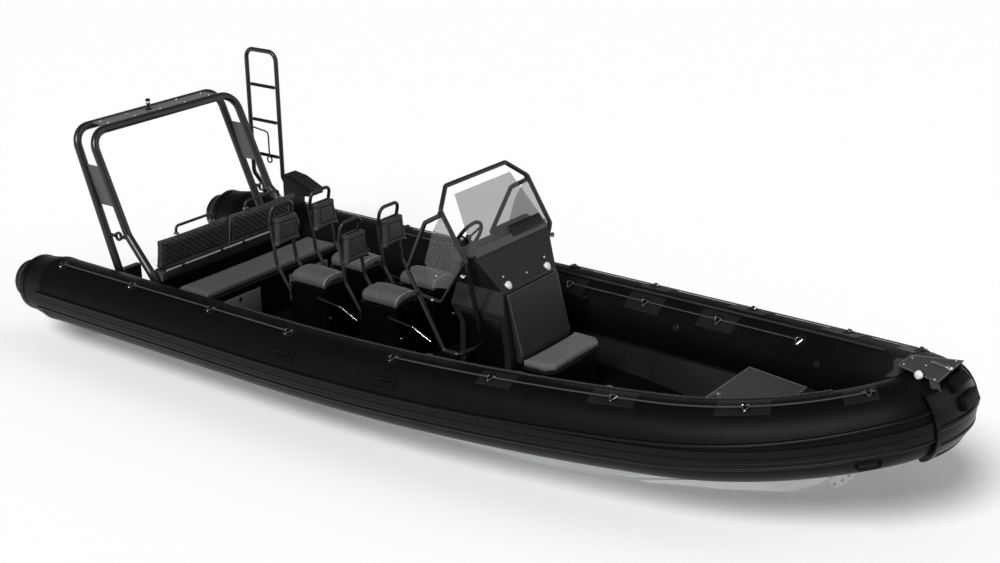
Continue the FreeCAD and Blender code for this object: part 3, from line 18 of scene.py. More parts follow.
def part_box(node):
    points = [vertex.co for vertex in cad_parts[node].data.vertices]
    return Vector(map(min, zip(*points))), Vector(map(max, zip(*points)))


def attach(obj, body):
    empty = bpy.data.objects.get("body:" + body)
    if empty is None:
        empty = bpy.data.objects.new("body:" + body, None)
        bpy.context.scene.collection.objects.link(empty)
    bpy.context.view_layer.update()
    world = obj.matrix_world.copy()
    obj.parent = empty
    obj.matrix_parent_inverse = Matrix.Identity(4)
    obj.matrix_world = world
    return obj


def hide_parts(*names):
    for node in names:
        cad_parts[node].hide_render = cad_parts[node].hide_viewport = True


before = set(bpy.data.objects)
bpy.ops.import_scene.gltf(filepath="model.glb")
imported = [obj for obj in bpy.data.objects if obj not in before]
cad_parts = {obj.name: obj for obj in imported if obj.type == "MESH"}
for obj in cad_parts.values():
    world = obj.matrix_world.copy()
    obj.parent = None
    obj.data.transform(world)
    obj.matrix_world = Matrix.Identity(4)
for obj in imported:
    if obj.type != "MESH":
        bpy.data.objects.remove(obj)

LOG = logging.getLogger("boat")
BODY = "boat"
SIDES = {"starboard": -1, "port": 1}
# each straddle seat's hoop: x and y
SEATS = {"aft_starboard": (-1.872, -0.25), "aft_port": (-1.872, 0.25),
         "forward_starboard": (-1.072, -0.25), "forward_port": (-1.072, 0.25)}
MM = 0.001
FORWARD, PORT, UP = Vector((1, 0, 0)), Vector((0, 1, 0)), Vector((0, 0, 1))

Mesh = bmesh.types.BMesh
# radius and height of a turned form's outline, or angle and radius of a strip's section
Outline = list[tuple[float, float]]


# ---- finishes -----------------------------------------------------------

def linear(code: str) -> tuple[float, float, float, float]:
    """Turns an sRGB hex colour into linear light.

    Args:
        code: Six hex digits.

    Returns:
        Red, green, blue and an alpha of 1.
    """
    shares = [int(code[index:index + 2], 16) / 255 for index in (0, 2, 4)]
    red, green, blue = (share / 12.92 if share <= 0.04045 else ((share + 0.055) / 1.055) ** 2.4
                        for share in shares)
    return red, green, blue, 1.0


def add_node(tree: bpy.types.NodeTree, kind: str, settings: dict | None = None,
             links: dict | None = None) -> bpy.types.Node:
    """Adds one shader node.

    Args:
        tree: The material's node tree.
        kind: Blender's name for the node.
        settings: Values for the node's inputs or properties, by name or input number.
        links: Outputs to join to the node's inputs, by name or input number.

    Returns:
        The new node.
    """
    node = tree.nodes.new(kind)
    for key, value in (settings or {}).items():
        if isinstance(key, int) or key in node.inputs:
            node.inputs[key].default_value = value
        else:
            setattr(node, key, value)
    for key, output in (links or {}).items():
        tree.links.new(output, node.inputs[key])
    return node


def blank_material(name: str) -> bpy.types.Material:
    """Makes a material with an empty node tree."""
    made = bpy.data.materials.new(name)
    made.use_nodes = True
    made.node_tree.nodes.clear()
    return made


class Surface(Enum):
    """How a finish's surface is broken up."""

    WOVEN = "coated cloth with its weave showing through"
    LEATHER = "pebbled cells"
    PEEL = "the soft orange peel of powder coat"
    BRUSHED = "fine lines along the boat"
    GRIT = "sharp grains"
    GROOVED = "parallel grooves along the boat"
    LAID = "slanting strands"
    SMOOTH = "polished"


@dataclass(frozen=True)
class Finish:
    """A finish, named for what it is made of, how its surface was made and any light painted into
    it.
    """

    name: str
    colour: str
    shade: str
    roughness: float
    surface: Surface
    pitch_mm: float
    depth_mm: float
    metallic: float = 0.0
    ior: float = 1.5
    coat: float = 0.0
    specular: float = 0.5
    cloud_mm: float = 350.0
    rough_swing: float = 0.06
    relief: float = 0.6

    def _height(self, tree: bpy.types.NodeTree,
                place: bpy.types.NodeSocket) -> bpy.types.NodeSocket:
        """Builds the surface's height pattern.

        Args:
            tree: The material's node tree.
            place: The position in metres.

        Returns:
            A height from 0 to 1.
        """
        scale = 1 / (self.pitch_mm * MM)
        if self.surface is Surface.LEATHER:
            return add_node(tree, "ShaderNodeTexVoronoi",
                            {"Scale": scale, "feature": "SMOOTH_F1"},
                            {"Vector": place}).outputs["Distance"]
        if self.surface is Surface.BRUSHED:
            drawn = add_node(tree, "ShaderNodeMapping", {"Scale": (0.02, 1.0, 1.0)},
                             {"Vector": place})
            return add_node(tree, "ShaderNodeTexNoise", {"Scale": scale, "Detail": 4.0},
                            {"Vector": drawn.outputs["Vector"]}).outputs["Fac"]
        if self.surface is Surface.GROOVED:
            return add_node(tree, "ShaderNodeTexWave",
                            {"Scale": scale / 2, "bands_direction": "Y"},
                            {"Vector": place}).outputs["Fac"]
        if self.surface is Surface.LAID:
            turned = add_node(tree, "ShaderNodeMapping", {"Rotation": (0.0, 0.0, 0.6)},
                              {"Vector": place})
            return add_node(tree, "ShaderNodeTexWave",
                            {"Scale": scale / 2, "bands_direction": "X"},
                            {"Vector": turned.outputs["Vector"]}).outputs["Fac"]
        if self.surface is Surface.WOVEN:
            warp, weft = (add_node(tree, "ShaderNodeTexWave",
                                   {"Scale": scale / 2, "bands_direction": way},
                                   {"Vector": place}).outputs["Fac"] for way in "XZ")
            return add_node(tree, "ShaderNodeMath", {"operation": "MULTIPLY"},
                            {0: warp, 1: weft}).outputs["Value"]
        detail = 8.0 if self.surface is Surface.GRIT else 2.0
        return add_node(tree, "ShaderNodeTexNoise", {"Scale": scale, "Detail": detail},
                        {"Vector": place}).outputs["Fac"]

    @cache
    def material(self) -> bpy.types.Material:
        """Makes the material once.

        Returns:
            The material.
        """
        made = blank_material(self.name)
        tree = made.node_tree
        place = add_node(tree, "ShaderNodeTexCoord").outputs["Object"]
        cloud = add_node(tree, "ShaderNodeTexNoise",
                         {"Scale": 1 / (self.cloud_mm * MM), "Detail": 3.0},
                         {"Vector": place}).outputs["Fac"]
        colour = add_node(tree, "ShaderNodeMix",
                          {"data_type": "RGBA", 6: linear(self.colour), 7: linear(self.shade)},
                          {0: cloud})
        rough = add_node(tree, "ShaderNodeMapRange",
                         {"To Min": self.roughness - self.rough_swing,
                          "To Max": self.roughness + self.rough_swing}, {"Value": cloud})
        settings = {"Metallic": self.metallic, "Coat Weight": self.coat, "Coat Roughness": 0.15}
        if not self.metallic:
            settings["IOR"] = self.ior
            settings["Specular IOR Level"] = self.specular
        links = {"Base Color": colour.outputs[2], "Roughness": rough.outputs["Result"]}
        if self.surface is not Surface.SMOOTH:
            bump = add_node(tree, "ShaderNodeBump",
                            {"Strength": self.relief, "Distance": self.depth_mm * MM},
                            {"Height": self._height(tree, place)})
            links["Normal"] = bump.outputs["Normal"]
        shader = add_node(tree, "ShaderNodeBsdfPrincipled", settings, links)
        add_node(tree, "ShaderNodeOutputMaterial", links={"Surface": shader.outputs["BSDF"]})
        return made


@dataclass(frozen=True)
class TwoTone(Finish):
    """A plate left bare outside and painted on every face that looks up or inboard."""

    paint: str = "121213"

    @cache
    def material(self) -> bpy.types.Material:
        """Makes the material once.

        Returns:
            The material.
        """
        made = super().material()
        tree = made.node_tree
        shader = next(node for node in tree.nodes if node.type == "BSDF_PRINCIPLED")
        bare = shader.inputs["Base Color"].links[0].from_socket
        facing = add_node(tree, "ShaderNodeNewGeometry").outputs["Normal"]
        parts = add_node(tree, "ShaderNodeSeparateXYZ", links={"Vector": facing})
        inside = add_node(tree, "ShaderNodeMath", {"operation": "GREATER_THAN", 1: 0.02},
                          {0: parts.outputs["Z"]}).outputs["Value"]
        colour = add_node(tree, "ShaderNodeMix", {"data_type": "RGBA", 7: linear(self.paint)},
                          {0: inside, 6: bare})
        metal = add_node(tree, "ShaderNodeMapRange", {"To Min": self.metallic, "To Max": 0.0},
                         {"Value": inside})
        tree.links.new(colour.outputs[2], shader.inputs["Base Color"])
        tree.links.new(metal.outputs["Result"], shader.inputs["Metallic"])
        return made


@dataclass(frozen=True)
class Acrylic:
    """Cast acrylic sheet, clear or smoked: a hard gloss that lets most light through."""

    name: str
    tint: str
    alpha: float
    roughness: float = 0.03
    haze: float = 0.05
    ior: float = 1.49

    @cache
    def material(self) -> bpy.types.Material:
        """Makes the material once.

        Returns:
            The material.
        """
        made = blank_material(self.name)
        tree = made.node_tree
        place = add_node(tree, "ShaderNodeTexCoord").outputs["Object"]
        smears = add_node(tree, "ShaderNodeTexNoise", {"Scale": 6.0, "Detail": 2.0},
                          {"Vector": place})
        rough = add_node(tree, "ShaderNodeMapRange",
                         {"To Min": self.roughness, "To Max": self.roughness + self.haze},
                         {"Value": smears.outputs["Fac"]})
        shader = add_node(tree, "ShaderNodeBsdfPrincipled",
                          {"Base Color": linear(self.tint), "IOR": self.ior,
                           "Alpha": self.alpha},
                          {"Roughness": rough.outputs["Result"]})
        add_node(tree, "ShaderNodeOutputMaterial", links={"Surface": shader.outputs["BSDF"]})
        return made


# coated polyester fabric, calendered: near black with a soft satin bloom. The real weave is
# 1 mm, drawn at 6 mm so that it still breaks up the light
TUBE_CLOTH = Finish("satin_coated_tube_cloth", "070708", "0b0b0c", 0.48, Surface.WOVEN,
                    6.0, 0.25, specular=0.08)
# the same cloth glued on as a second layer: a little glossier, and greyer all over as a painted
# sheen
PATCH_CLOTH_PAINTED_SHEEN = Finish("reinforcing_cloth_painted_sheen", "171718", "1c1c1d", 0.38, Surface.WOVEN,
                     6.0, 0.2, specular=0.15)
# extruded rubber: blacker and smoother than the cloth, with flow marks along its length
STRAKE_RUBBER = Finish("extruded_strake_rubber", "060607", "0a0a0b", 0.36, Surface.BRUSHED,
                       8.0, 0.3, specular=0.15)
# a black strip that stands for the shade in the strake's moulded groove: painted shade
PAINTED_GROOVE_SHADE = Finish("painted_groove_shade_rubber", "030303", "050505", 0.8, Surface.SMOOTH,
                      5.0, 0.1, specular=0.05)
# solid moulded rubber, matt and sooty
BLOCK_RUBBER = Finish("moulded_block_rubber", "040405", "070708", 0.5, Surface.GRIT,
                      14.0, 0.3, specular=0.1)
# marine aluminium plate, mill brushed: soft grey lines along the boat, no mirror
HULL_PLATE = Finish("brushed_aluminium_plate", "b4b6b8", "a2a4a6", 0.40, Surface.BRUSHED,
                    6.0, 0.15, metallic=0.85)
# the hull's plate: bare outside, black paint on the cockpit's sides and side decks
HULL_SHELL = TwoTone("brushed_aluminium_plate_painted_inside", "b4b6b8", "a2a4a6", 0.40,
                     Surface.BRUSHED, 6.0, 0.15, metallic=0.85)
# closed-cell foam mat with routed grooves, which read as fine dark lines
DECK_MAT = Finish("grooved_foam_deck_mat", "050506", "0b0b0c", 0.85, Surface.GROOVED,
                  50.0, 1.5, specular=0.03)
# black polyester powder coat on steel and aluminium tube: satin with an orange peel
BLACK_COAT = Finish("black_powder_coat", "18181a", "202022", 0.32, Surface.PEEL, 9.0, 0.12)
# dark grey textured powder coat on sheet aluminium
GREY_COAT = Finish("dark_grey_powder_coat", "5c5c5e", "656567", 0.42, Surface.PEEL,
                   7.0, 0.15, specular=0.3)
# grey epoxy with cast-in grit, for treading on
TREAD_COAT = Finish("grey_non_skid_coat", "373738", "404041", 0.62, Surface.GRIT,
                    12.0, 0.5, specular=0.2)
# glass fibre seat pods with a black gelcoat
GELCOAT = Finish("black_gelcoat", "050506", "080809", 0.26, Surface.PEEL,
                 40.0, 0.2, specular=0.25)
# marine vinyl, embossed with a leather grain: a low sheen, brighter on a cushion's crown
VINYL = Finish("grained_marine_vinyl", "232325", "2b2b2d", 0.45, Surface.LEATHER,
               7.0, 0.35, specular=0.2)
# the same vinyl, paler: a lit copy that paints the light falling on the seat tops, pipings and end
# caps
PAINTED_LIT_VINYL = Finish("painted_lit_grained_vinyl", "4b4b4d", "555557", 0.42, Surface.LEATHER,
                    7.0, 0.35, specular=0.2)
# the jockey seats' vinyl, between the two
SEAT_VINYL = Finish("seat_grained_vinyl", "303032", "39393b", 0.38, Surface.LEATHER,
                    6.0, 0.3, specular=0.25)
# the front seat's top, paler still: painted light where the light lies on it
PAINTED_LIT_SEAT_TOP_VINYL = Finish("front_seat_painted_lit_vinyl", "5a5a5c", "646466", 0.36,
                        Surface.LEATHER, 6.0, 0.3, specular=0.25)
# the palest copy of the vinyl, for the bench roll's edge strip and the saddles' front cords:
# painted highlight along those edges
PAINTED_HIGHLIGHT_VINYL = Finish("painted_highlight_vinyl", "949496", "a0a0a2", 0.40, Surface.LEATHER,
                      6.0, 0.3, specular=0.25)
# satin dark grey gelcoat of the console
CONSOLE_COAT = Finish("dark_grey_console_gelcoat", "1d1d1f", "242426", 0.34, Surface.PEEL,
                      30.0, 0.2, specular=0.3)
# the console's brow, painted a paler grey
BROW_COAT = Finish("grey_brow_paint", "484849", "505052", 0.36, Surface.PEEL,
                   12.0, 0.1, specular=0.3)
# injection-moulded nylon with a spark-eroded texture
MOULDED = Finish("moulded_black_nylon", "0f0f10", "151516", 0.5, Surface.GRIT,
                 10.0, 0.2, specular=0.25)
# three-strand polyester line
ROPE = Finish("charcoal_laid_line", "3a3a3c", "48484a", 0.6, Surface.LAID,
              8.0, 1.0, specular=0.2)
# laced edging cord: charcoal strands with dark gaps
LACING = Finish("charcoal_lacing_cord", "2c2c2e", "39393b", 0.6, Surface.LAID,
                8.0, 1.0, specular=0.2)
# polished stainless wire and bolts: a bright mirror with fine lines
STAINLESS = Finish("polished_stainless_steel", "e2e3e4", "d2d3d4", 0.16, Surface.BRUSHED,
                   5.0, 0.05, metallic=1.0)
# opal polycarbonate lamp lens: milky white under a hard gloss
LENS = Finish("opal_lamp_lens", "e9eaec", "dfe0e2", 0.12, Surface.SMOOTH, 5.0, 0.1, coat=0.5)
# the front screen's clear sheet, which carries a white reflection
CLEAR_SHEET = Acrylic("clear_cast_acrylic", "5a5b5c", 0.38)
# the side wings' smoked sheet
SMOKED_SHEET = Acrylic("smoked_cast_acrylic", "56575a", 0.36)


# ---- mesh helpers -------------------------------------------------------

def link(name: str, data: bpy.types.ID) -> bpy.types.Object:
    """Puts new data into the scene as an object."""
    made = bpy.data.objects.new(name, data)
    bpy.context.scene.collection.objects.link(made)
    return made


def to_object(name: str, mesh: Mesh) -> bpy.types.Object:
    """Turns a mesh into an object and frees it."""
    data = bpy.data.meshes.new(name)
    mesh.to_mesh(data)
    mesh.free()
    return link(name, data)


def piece(name: str, mesh: Mesh, finish: Finish | Acrylic, body: str = BODY,
          crease_deg: float = 35.0) -> bpy.types.Object:
    """Turns a mesh into a dressed piece that rides on a body.

    Args:
        name: The piece's name.
        mesh: The mesh, which is freed.
        finish: Its finish.
        body: The body that carries it.
        crease_deg: The angle above which an edge stays sharp.

    Returns:
        The new object.
    """
    bmesh.ops.recalc_face_normals(mesh, faces=mesh.faces)
    made = to_object(name, mesh)
    made.data.materials.append(finish.material())
    made.data.shade_smooth()
    made.data.set_sharp_from_angle(angle=math.radians(crease_deg))
    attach(made, body)
    LOG.info("piece %s", name)
    return made


def coat(finish: Finish | Acrylic, *nodes: str) -> None:
    """Gives solids of the frame their finish.

    Args:
        finish: The finish.
        nodes: The solids' names.
    """
    for name in nodes:
        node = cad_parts[name]
        if not node.material_slots:
            node.data.materials.append(None)
        for holder in node.material_slots:
            holder.material = finish.material()


def bridge(mesh: Mesh, rings: list[list[bmesh.types.BMVert]], closed: bool = False) -> None:
    """Joins rings with faces.

    Args:
        mesh: The mesh to add to.
        rings: The rings in order, each with as many vertices.
        closed: Whether the last ring joins the first; otherwise both ends get a face.
    """
    pairs = list(zip(rings, rings[1:]))
    if closed:
        pairs.append((rings[-1], rings[0]))
    for low, high in pairs:
        for step, vert in enumerate(low):
            after = (step + 1) % len(low)
            mesh.faces.new((vert, low[after], high[after], high[step]))
    if not closed:
        mesh.faces.new(list(reversed(rings[0])))
        mesh.faces.new(rings[-1])


def add_ring(mesh: Mesh, centre: Vector, across: Vector, other: Vector, radius: float,
             sides: int) -> list[bmesh.types.BMVert]:
    """Adds the vertices of a circle.

    Args:
        mesh: The mesh to add to.
        centre: The circle's centre.
        across: The direction of its first vertex.
        other: The direction a quarter of a turn on.
        radius: Its radius.
        sides: How many vertices it has.

    Returns:
        The vertices.
    """
    turns = (2 * math.pi * step / sides for step in range(sides))
    return [mesh.verts.new(centre + (across * math.cos(turn) + other * math.sin(turn)) * radius)
            for turn in turns]


def add_swept(mesh: Mesh, path: list[Vector], radius: float, sides: int = 10,
              closed: bool = False) -> None:
    """Adds a round wire along a path.

    Args:
        mesh: The mesh to add to.
        path: Points along the wire's centre.
        radius: The wire's radius.
        sides: How many sides its section has.
        closed: Whether the path joins up with its start.
    """
    count = len(path)
    rings = []
    up = None
    for index, point in enumerate(path):
        ahead = path[(index + 1) % count] if closed or index < count - 1 else point
        behind = path[index - 1] if closed or index > 0 else point
        along = (ahead - behind).normalized()
        if up is None:
            up = along.orthogonal().normalized()
        up = (up - along * up.dot(along)).normalized()
        rings.append(add_ring(mesh, point, up, along.cross(up), radius, sides))
    bridge(mesh, rings, closed)


def add_turned(mesh: Mesh, base: Vector, axis: Vector, outline: Outline,
               sides: int = 24) -> None:
    """Adds a turned form.

    Args:
        mesh: The mesh to add to.
        base: The point that heights are measured from.
        axis: The direction of the heights.
        outline: Radius and height, from one end to the other.
        sides: How many sides it has.
    """
    axis = axis.normalized()
    across = axis.orthogonal().normalized()
    other = axis.cross(across)
    point_radius = 0.01 * MM
    bridge(mesh, [add_ring(mesh, base + axis * height, across, other,
                           max(radius, point_radius), sides) for radius, height in outline])


def add_block(mesh: Mesh, low: tuple[float, float, float], high: tuple[float, float, float],
              bevel: float, segments: int = 3) -> None:
    """Adds a block with rounded edges.

    Args:
        mesh: The mesh to add to.
        low: Its lowest corner.
        high: Its highest corner.
        bevel: The radius of its edges.
        segments: How many faces round each edge.
    """
    made = bmesh.ops.create_cube(mesh, size=1.0)
    size = Vector(high) - Vector(low)
    centre = (Vector(high) + Vector(low)) / 2
    for vert in made["verts"]:
        vert.co = centre + vert.co * size
    edges = {edge for vert in made["verts"] for edge in vert.link_edges}
    bmesh.ops.bevel(mesh, geom=list(edges), offset=bevel, segments=segments, profile=0.5,
                    affect="EDGES")


def add_extruded(mesh: Mesh, outline: list[Vector], push: Vector) -> None:
    """Adds a flat outline pushed along a direction.

    Args:
        mesh: The mesh to add to.
        outline: The outline's corners in order.
        push: The direction and distance.
    """
    bridge(mesh, [[mesh.verts.new(point + shift) for point in outline]
                  for shift in (Vector(), push)])


def bevelled(outline: list[Vector], push: Vector, bevel: float, segments: int = 3) -> Mesh:
    """Makes a form with rounded edges by pushing an outline along a direction.

    Args:
        outline: The outline's corners in order.
        push: The direction and distance.
        bevel: The radius of its edges.
        segments: How many faces round each edge.

    Returns:
        The closed form.
    """
    mesh = bmesh.new()
    add_extruded(mesh, outline, push)
    bmesh.ops.recalc_face_normals(mesh, faces=mesh.faces)
    bmesh.ops.bevel(mesh, geom=list(mesh.edges), offset=bevel, segments=segments, profile=0.5,
                    affect="EDGES")
    return mesh


def rectangle(x: tuple[float, float], y: tuple[float, float], z: float) -> list[Vector]:
    """Gives the corners of a level rectangle, round from its aft starboard corner."""
    return [Vector((x[0], y[0], z)), Vector((x[1], y[0], z)),
            Vector((x[1], y[1], z)), Vector((x[0], y[1], z))]


def upright(y: float, corners: tuple[tuple[float, float], ...]) -> list[Vector]:
    """Gives the corners of an outline in an upright plane along the boat."""
    return [Vector((x, y, z)) for x, z in corners]


def bend(start: Vector, corner: Vector, end: Vector, steps: int) -> list[Vector]:
    """Gives the points of a smooth bend round a corner."""
    return [start.lerp(corner, step / steps).lerp(corner.lerp(end, step / steps), step / steps)
            for step in range(steps + 1)]


def rounded(points: list[Vector], radius: float, steps: int = 6) -> list[Vector]:
    """Rounds the inner corners of a run of straight lines.

    Args:
        points: The corners.
        radius: The bends' radius.
        steps: How many stretches go round each bend.

    Returns:
        The points of the rounded path.
    """
    path = [points[0]]
    for before, corner, after in zip(points, points[1:], points[2:]):
        into, out = (corner - before).normalized(), (after - corner).normalized()
        reach = min(radius * math.tan(into.angle(out) / 2), (corner - before).length / 2,
                    (after - corner).length / 2)
        path += bend(corner - into * reach, corner, corner + out * reach, steps)
    path.append(points[-1])
    return path


def softened(outline: list[Vector], radius: float, steps: int = 4) -> list[Vector]:
    """Rounds every corner of a closed outline.

    Args:
        outline: The corners in order.
        radius: How far from each corner its rounding starts.
        steps: How many stretches go round each corner.

    Returns:
        The rounded outline.
    """
    made = []
    for index, corner in enumerate(outline):
        before, after = outline[index - 1], outline[(index + 1) % len(outline)]
        made += bend(corner + (before - corner).normalized() * radius, corner,
                     corner + (after - corner).normalized() * radius, steps)
    return made


def domed(angle: float, half: float, base: float, rise: float, steps: int = 8) -> Outline:
    """Draws a rib's round top for a strip on a tube.

    Args:
        angle: The rib's angle about the tube's axis.
        half: Half its width in degrees.
        base: The distance of its foot from the axis.
        rise: How far its top stands above its foot.
        steps: How many stretches it has.

    Returns:
        Angle and distance from the axis, in order.
    """
    shares = (index / steps * 2 - 1 for index in range(steps + 1))
    return [(angle + share * half, base + rise * math.sqrt(max(0.0, 1 - share * share)))
            for share in shares]


def add_bolt(mesh: Mesh, base: Vector, axis: Vector, radius: float = 0.008) -> None:
    """Adds a dome-headed bolt with its washer."""
    add_turned(mesh, base, axis, [(radius * 1.5, -0.002), (radius * 1.5, 0.0015),
                                  (radius, 0.0018), (radius * 0.95, 0.004),
                                  (radius * 0.6, 0.0065), (0.0, 0.007)], 12)


# ---- tube line ----------------------------------------------------------

Place = tuple[Vector, Vector, Vector, Vector]


@dataclass
class TubeLine:
    """The air tubes' axis: a straight run, two bends in a tilted plane and the nose."""

    radius: float = 0.288
    axis_z: float = 0.540
    straight_aft_x: float = -3.780
    straight_fwd_x: float = -1.150
    tilt_deg: float = 22.9
    # radius and end heading of each bend
    bends: tuple[tuple[float, float], ...] = ((20.0, 10.1), (3.28, 37.9))
    nose_radius: float = 0.39301
    nose_steps: int = 20

    def __post_init__(self) -> None:
        """Works out the bends' centres and the nose."""
        tilt = math.radians(self.tilt_deg)
        self.inboard = Vector((0, -math.cos(tilt), math.sin(tilt)))
        self.normal = Vector((0, math.sin(tilt), math.cos(tilt)))
        x, inset, heading = self.straight_fwd_x, 0.0, 0.0
        self.arcs = []
        for radius, end_deg in self.bends:
            end = math.radians(end_deg)
            centre = (x - radius * math.sin(heading), inset + radius * math.cos(heading))
            self.arcs.append((centre, radius, end))
            x = centre[0] + radius * math.sin(end)
            inset = centre[1] - radius * math.cos(end)
            heading = end
        self.nose_heading = FORWARD * math.cos(heading) + self.inboard * math.sin(heading)
        level = math.hypot(self.nose_heading.x, self.nose_heading.z)
        self.nose_turn = math.atan2(level, -self.nose_heading.y)
        self.nose_rise = Vector((self.nose_heading.x / level, 0, self.nose_heading.z / level))
        half = self.nose_radius * math.sin(self.nose_turn) - (self.inboard * inset).y
        self.base = Vector((0, half, self.axis_z))
        self.nose_start = self.base + FORWARD * x + self.inboard * inset
        back = self.nose_radius * math.cos(self.nose_turn)
        self.nose_centre = (Vector((self.nose_start.x, 0, self.nose_start.z))
                            - self.nose_rise * back)

    def at(self, x: float) -> Place:
        """Finds the port axis at x, aft of the nose.

        Args:
            x: The distance forward.

        Returns:
            The axis point, its direction, the outboard and the upward normal.
        """
        if x <= self.straight_fwd_x:
            return self.base + FORWARD * x, FORWARD.copy(), -self.inboard, self.normal
        for centre, radius, end in self.arcs:
            if x <= centre[0] + radius * math.sin(end) + 1e-6:
                break
        heading = math.asin(min(1.0, (x - centre[0]) / radius))
        along = FORWARD * math.cos(heading) + self.inboard * math.sin(heading)
        outboard = FORWARD * math.sin(heading) - self.inboard * math.cos(heading)
        inset = centre[1] - radius * math.cos(heading)
        return self.base + FORWARD * x + self.inboard * inset, along, outboard, self.normal

    def nose_at(self, share: float) -> Place:
        """Finds the axis round the nose.

        Args:
            share: 0 where the port nose bend starts, 1 on the centreline, 2 at its
                starboard end.

        Returns:
            The axis point, its direction, the outboard and the upward normal.
        """
        turn = Matrix.Rotation(self.nose_turn * share, 3, self.nose_rise.cross(-PORT))
        point = self.nose_centre + turn @ (self.nose_start - self.nose_centre)
        _, _, outboard, up = self.at(self.nose_start.x - 1e-5)
        return point, turn @ self.nose_heading, turn @ outboard, turn @ up

    def off(self, place: Place, angle_deg: float, radius: float, side: int = 1) -> Vector:
        """Finds a point beside the axis.

        Args:
            place: The place on the port axis.
            angle_deg: The angle up from level outboard.
            radius: The distance from the axis.
            side: 1 for port, -1 for starboard.

        Returns:
            The point.
        """
        point, _, outboard, up = place
        turn = math.radians(angle_deg + self.tilt_deg)
        made = point + (outboard * math.cos(turn) + up * math.sin(turn)) * radius
        return Vector((made.x, made.y * side, made.z))

    def frame(self, x: float, angle_deg: float, side: int = 1) -> tuple[Vector, Vector, Vector]:
        """Finds the directions at a place on the tube's skin.

        Args:
            x: The distance forward.
            angle_deg: The angle up from level outboard.
            side: 1 for port, -1 for starboard.

        Returns:
            The skin point, the direction forward along the tube and straight out of it.
        """
        here, ahead = self.at(x), self.at(x + 0.01)
        point = self.off(here, angle_deg, self.radius, side)
        out = (self.off(here, angle_deg, self.radius + 1, side) - point).normalized()
        along = (self.off(ahead, angle_deg, self.radius, side) - point).normalized()
        return point, along, out

    def stretch(self, x_from: float, x_to: float, step: float = 0.06) -> list[Place]:
        """Walks along the axis aft of the nose in steps no longer than the one given."""
        count = max(2, math.ceil((x_to - x_from) / step))
        return [self.at(x_from + (x_to - x_from) * index / count) for index in range(count + 1)]

    def nose_stretch(self, share_from: float, share_to: float) -> list[Place]:
        """Walks along the axis round the nose."""
        count = max(2, math.ceil((share_to - share_from) * self.nose_steps))
        return [self.nose_at(share_from + (share_to - share_from) * index / count)
                for index in range(count + 1)]

    def add_strip(self, mesh: Mesh, side: int, places: list[Place],
                  sections: Outline | list[Outline]) -> None:
        """Adds a strip with a closed section along a tube.

        Args:
            mesh: The mesh to add to.
            side: 1 for port, -1 for starboard.
            places: The places on the axis that it passes.
            sections: Angle up from level outboard in degrees and distance from the axis, in
                order: one section for the whole strip or one for each place.
        """
        if isinstance(sections[0], tuple):
            sections = [sections] * len(places)
        bridge(mesh, [[mesh.verts.new(self.off(place, angle, radius, side))
                       for angle, radius in section]
                      for place, section in zip(places, sections)])


LINE = TubeLine()


# ---- upholstery ---------------------------------------------------------

@dataclass(frozen=True)
class Upholstery:
    """Foam in sewn vinyl: each cushion is blown up from its pattern, then held in its swell."""

    voxel: float = 0.008
    cap: float = 0.012
    shrink: float = 0.005
    pressure: float = 4.0
    mass: float = 0.3
    quality: int = 3
    frames: int = 14

    def blown(self, mesh: Mesh, name: str) -> bpy.types.Object:
        """Blows a closed form up as padded fabric.

        Args:
            mesh: The form at its real size, which is freed.
            name: The piece's name.

        Returns:
            The padded piece, at the real size again.
        """
        bmesh.ops.recalc_face_normals(mesh, faces=mesh.faces)
        for vert in mesh.verts:
            vert.co -= vert.normal * self.shrink
        made = to_object(name, mesh)
        remesh = made.modifiers.new("remesh", "REMESH")
        remesh.mode = "VOXEL"
        remesh.voxel_size = self.voxel
        self._apply(made)
        self._inflate(made)
        smooth = made.modifiers.new("subdivision", "SUBSURF")
        smooth.levels = smooth.render_levels = 1
        self._apply(made)
        made.data.shade_smooth()
        return made

    def _inflate(self, made: bpy.types.Object) -> None:
        """Swells a piece as cloth under pressure, no further than the cap."""
        rest = [vert.co.copy() for vert in made.data.vertices]
        cloth = made.modifiers.new("cloth", "CLOTH")
        cloth.settings.quality = self.quality
        cloth.settings.mass = self.mass
        cloth.settings.use_pressure = True
        cloth.settings.uniform_pressure_force = self.pressure
        cloth.settings.effector_weights.gravity = 0.0
        cloth.point_cache.frame_start = 1
        cloth.point_cache.frame_end = self.frames
        scene = bpy.context.scene
        for number in range(1, self.frames + 1):
            scene.frame_set(number)
        self._apply(made)
        scene.frame_set(1)
        for vert, start in zip(made.data.vertices, rest):
            moved = vert.co - start
            if moved.length > self.cap:
                vert.co = start + moved * (self.cap / moved.length)

    @staticmethod
    def _apply(made: bpy.types.Object) -> None:
        """Bakes an object's modifiers into its mesh."""
        graph = bpy.context.evaluated_depsgraph_get()
        data = bpy.data.meshes.new_from_object(made.evaluated_get(graph))
        old = made.data
        made.modifiers.clear()
        made.data = data
        bpy.data.meshes.remove(old)

    def dress(self, made: bpy.types.Object, finish: Finish, body: str, *nodes: str) -> None:
        """Gives a padded piece its vinyl, its body and the solids that it stands for.

        Args:
            made: The padded piece.
            finish: Its vinyl.
            body: The body that carries it.
            nodes: The solids it stands for.
        """
        made.data.materials.clear()
        made.data.materials.append(finish.material())
        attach(made, body)
        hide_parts(*nodes)
        LOG.info("padded piece %s", made.name)


def sink(made: bpy.types.Object, facing: Vector, depth: float, width: float,
         distance: Callable[[Vector], float]) -> None:
    """Presses a stitched channel into a padded piece.

    Args:
        made: The padded piece.
        facing: The direction that the channel's face looks.
        depth: How deep the channel is.
        width: How wide it is to either side.
        distance: Gives a point's distance from the stitching line.
    """
    normals = [vert.normal.copy() for vert in made.data.vertices]
    for vert, normal in zip(made.data.vertices, normals):
        share = normal.dot(facing)
        if share < 0.35:
            continue
        off = distance(vert.co) / width
        if off < 3:
            vert.co -= facing * depth * math.exp(-off * off) * min(1.0, share * 1.6)


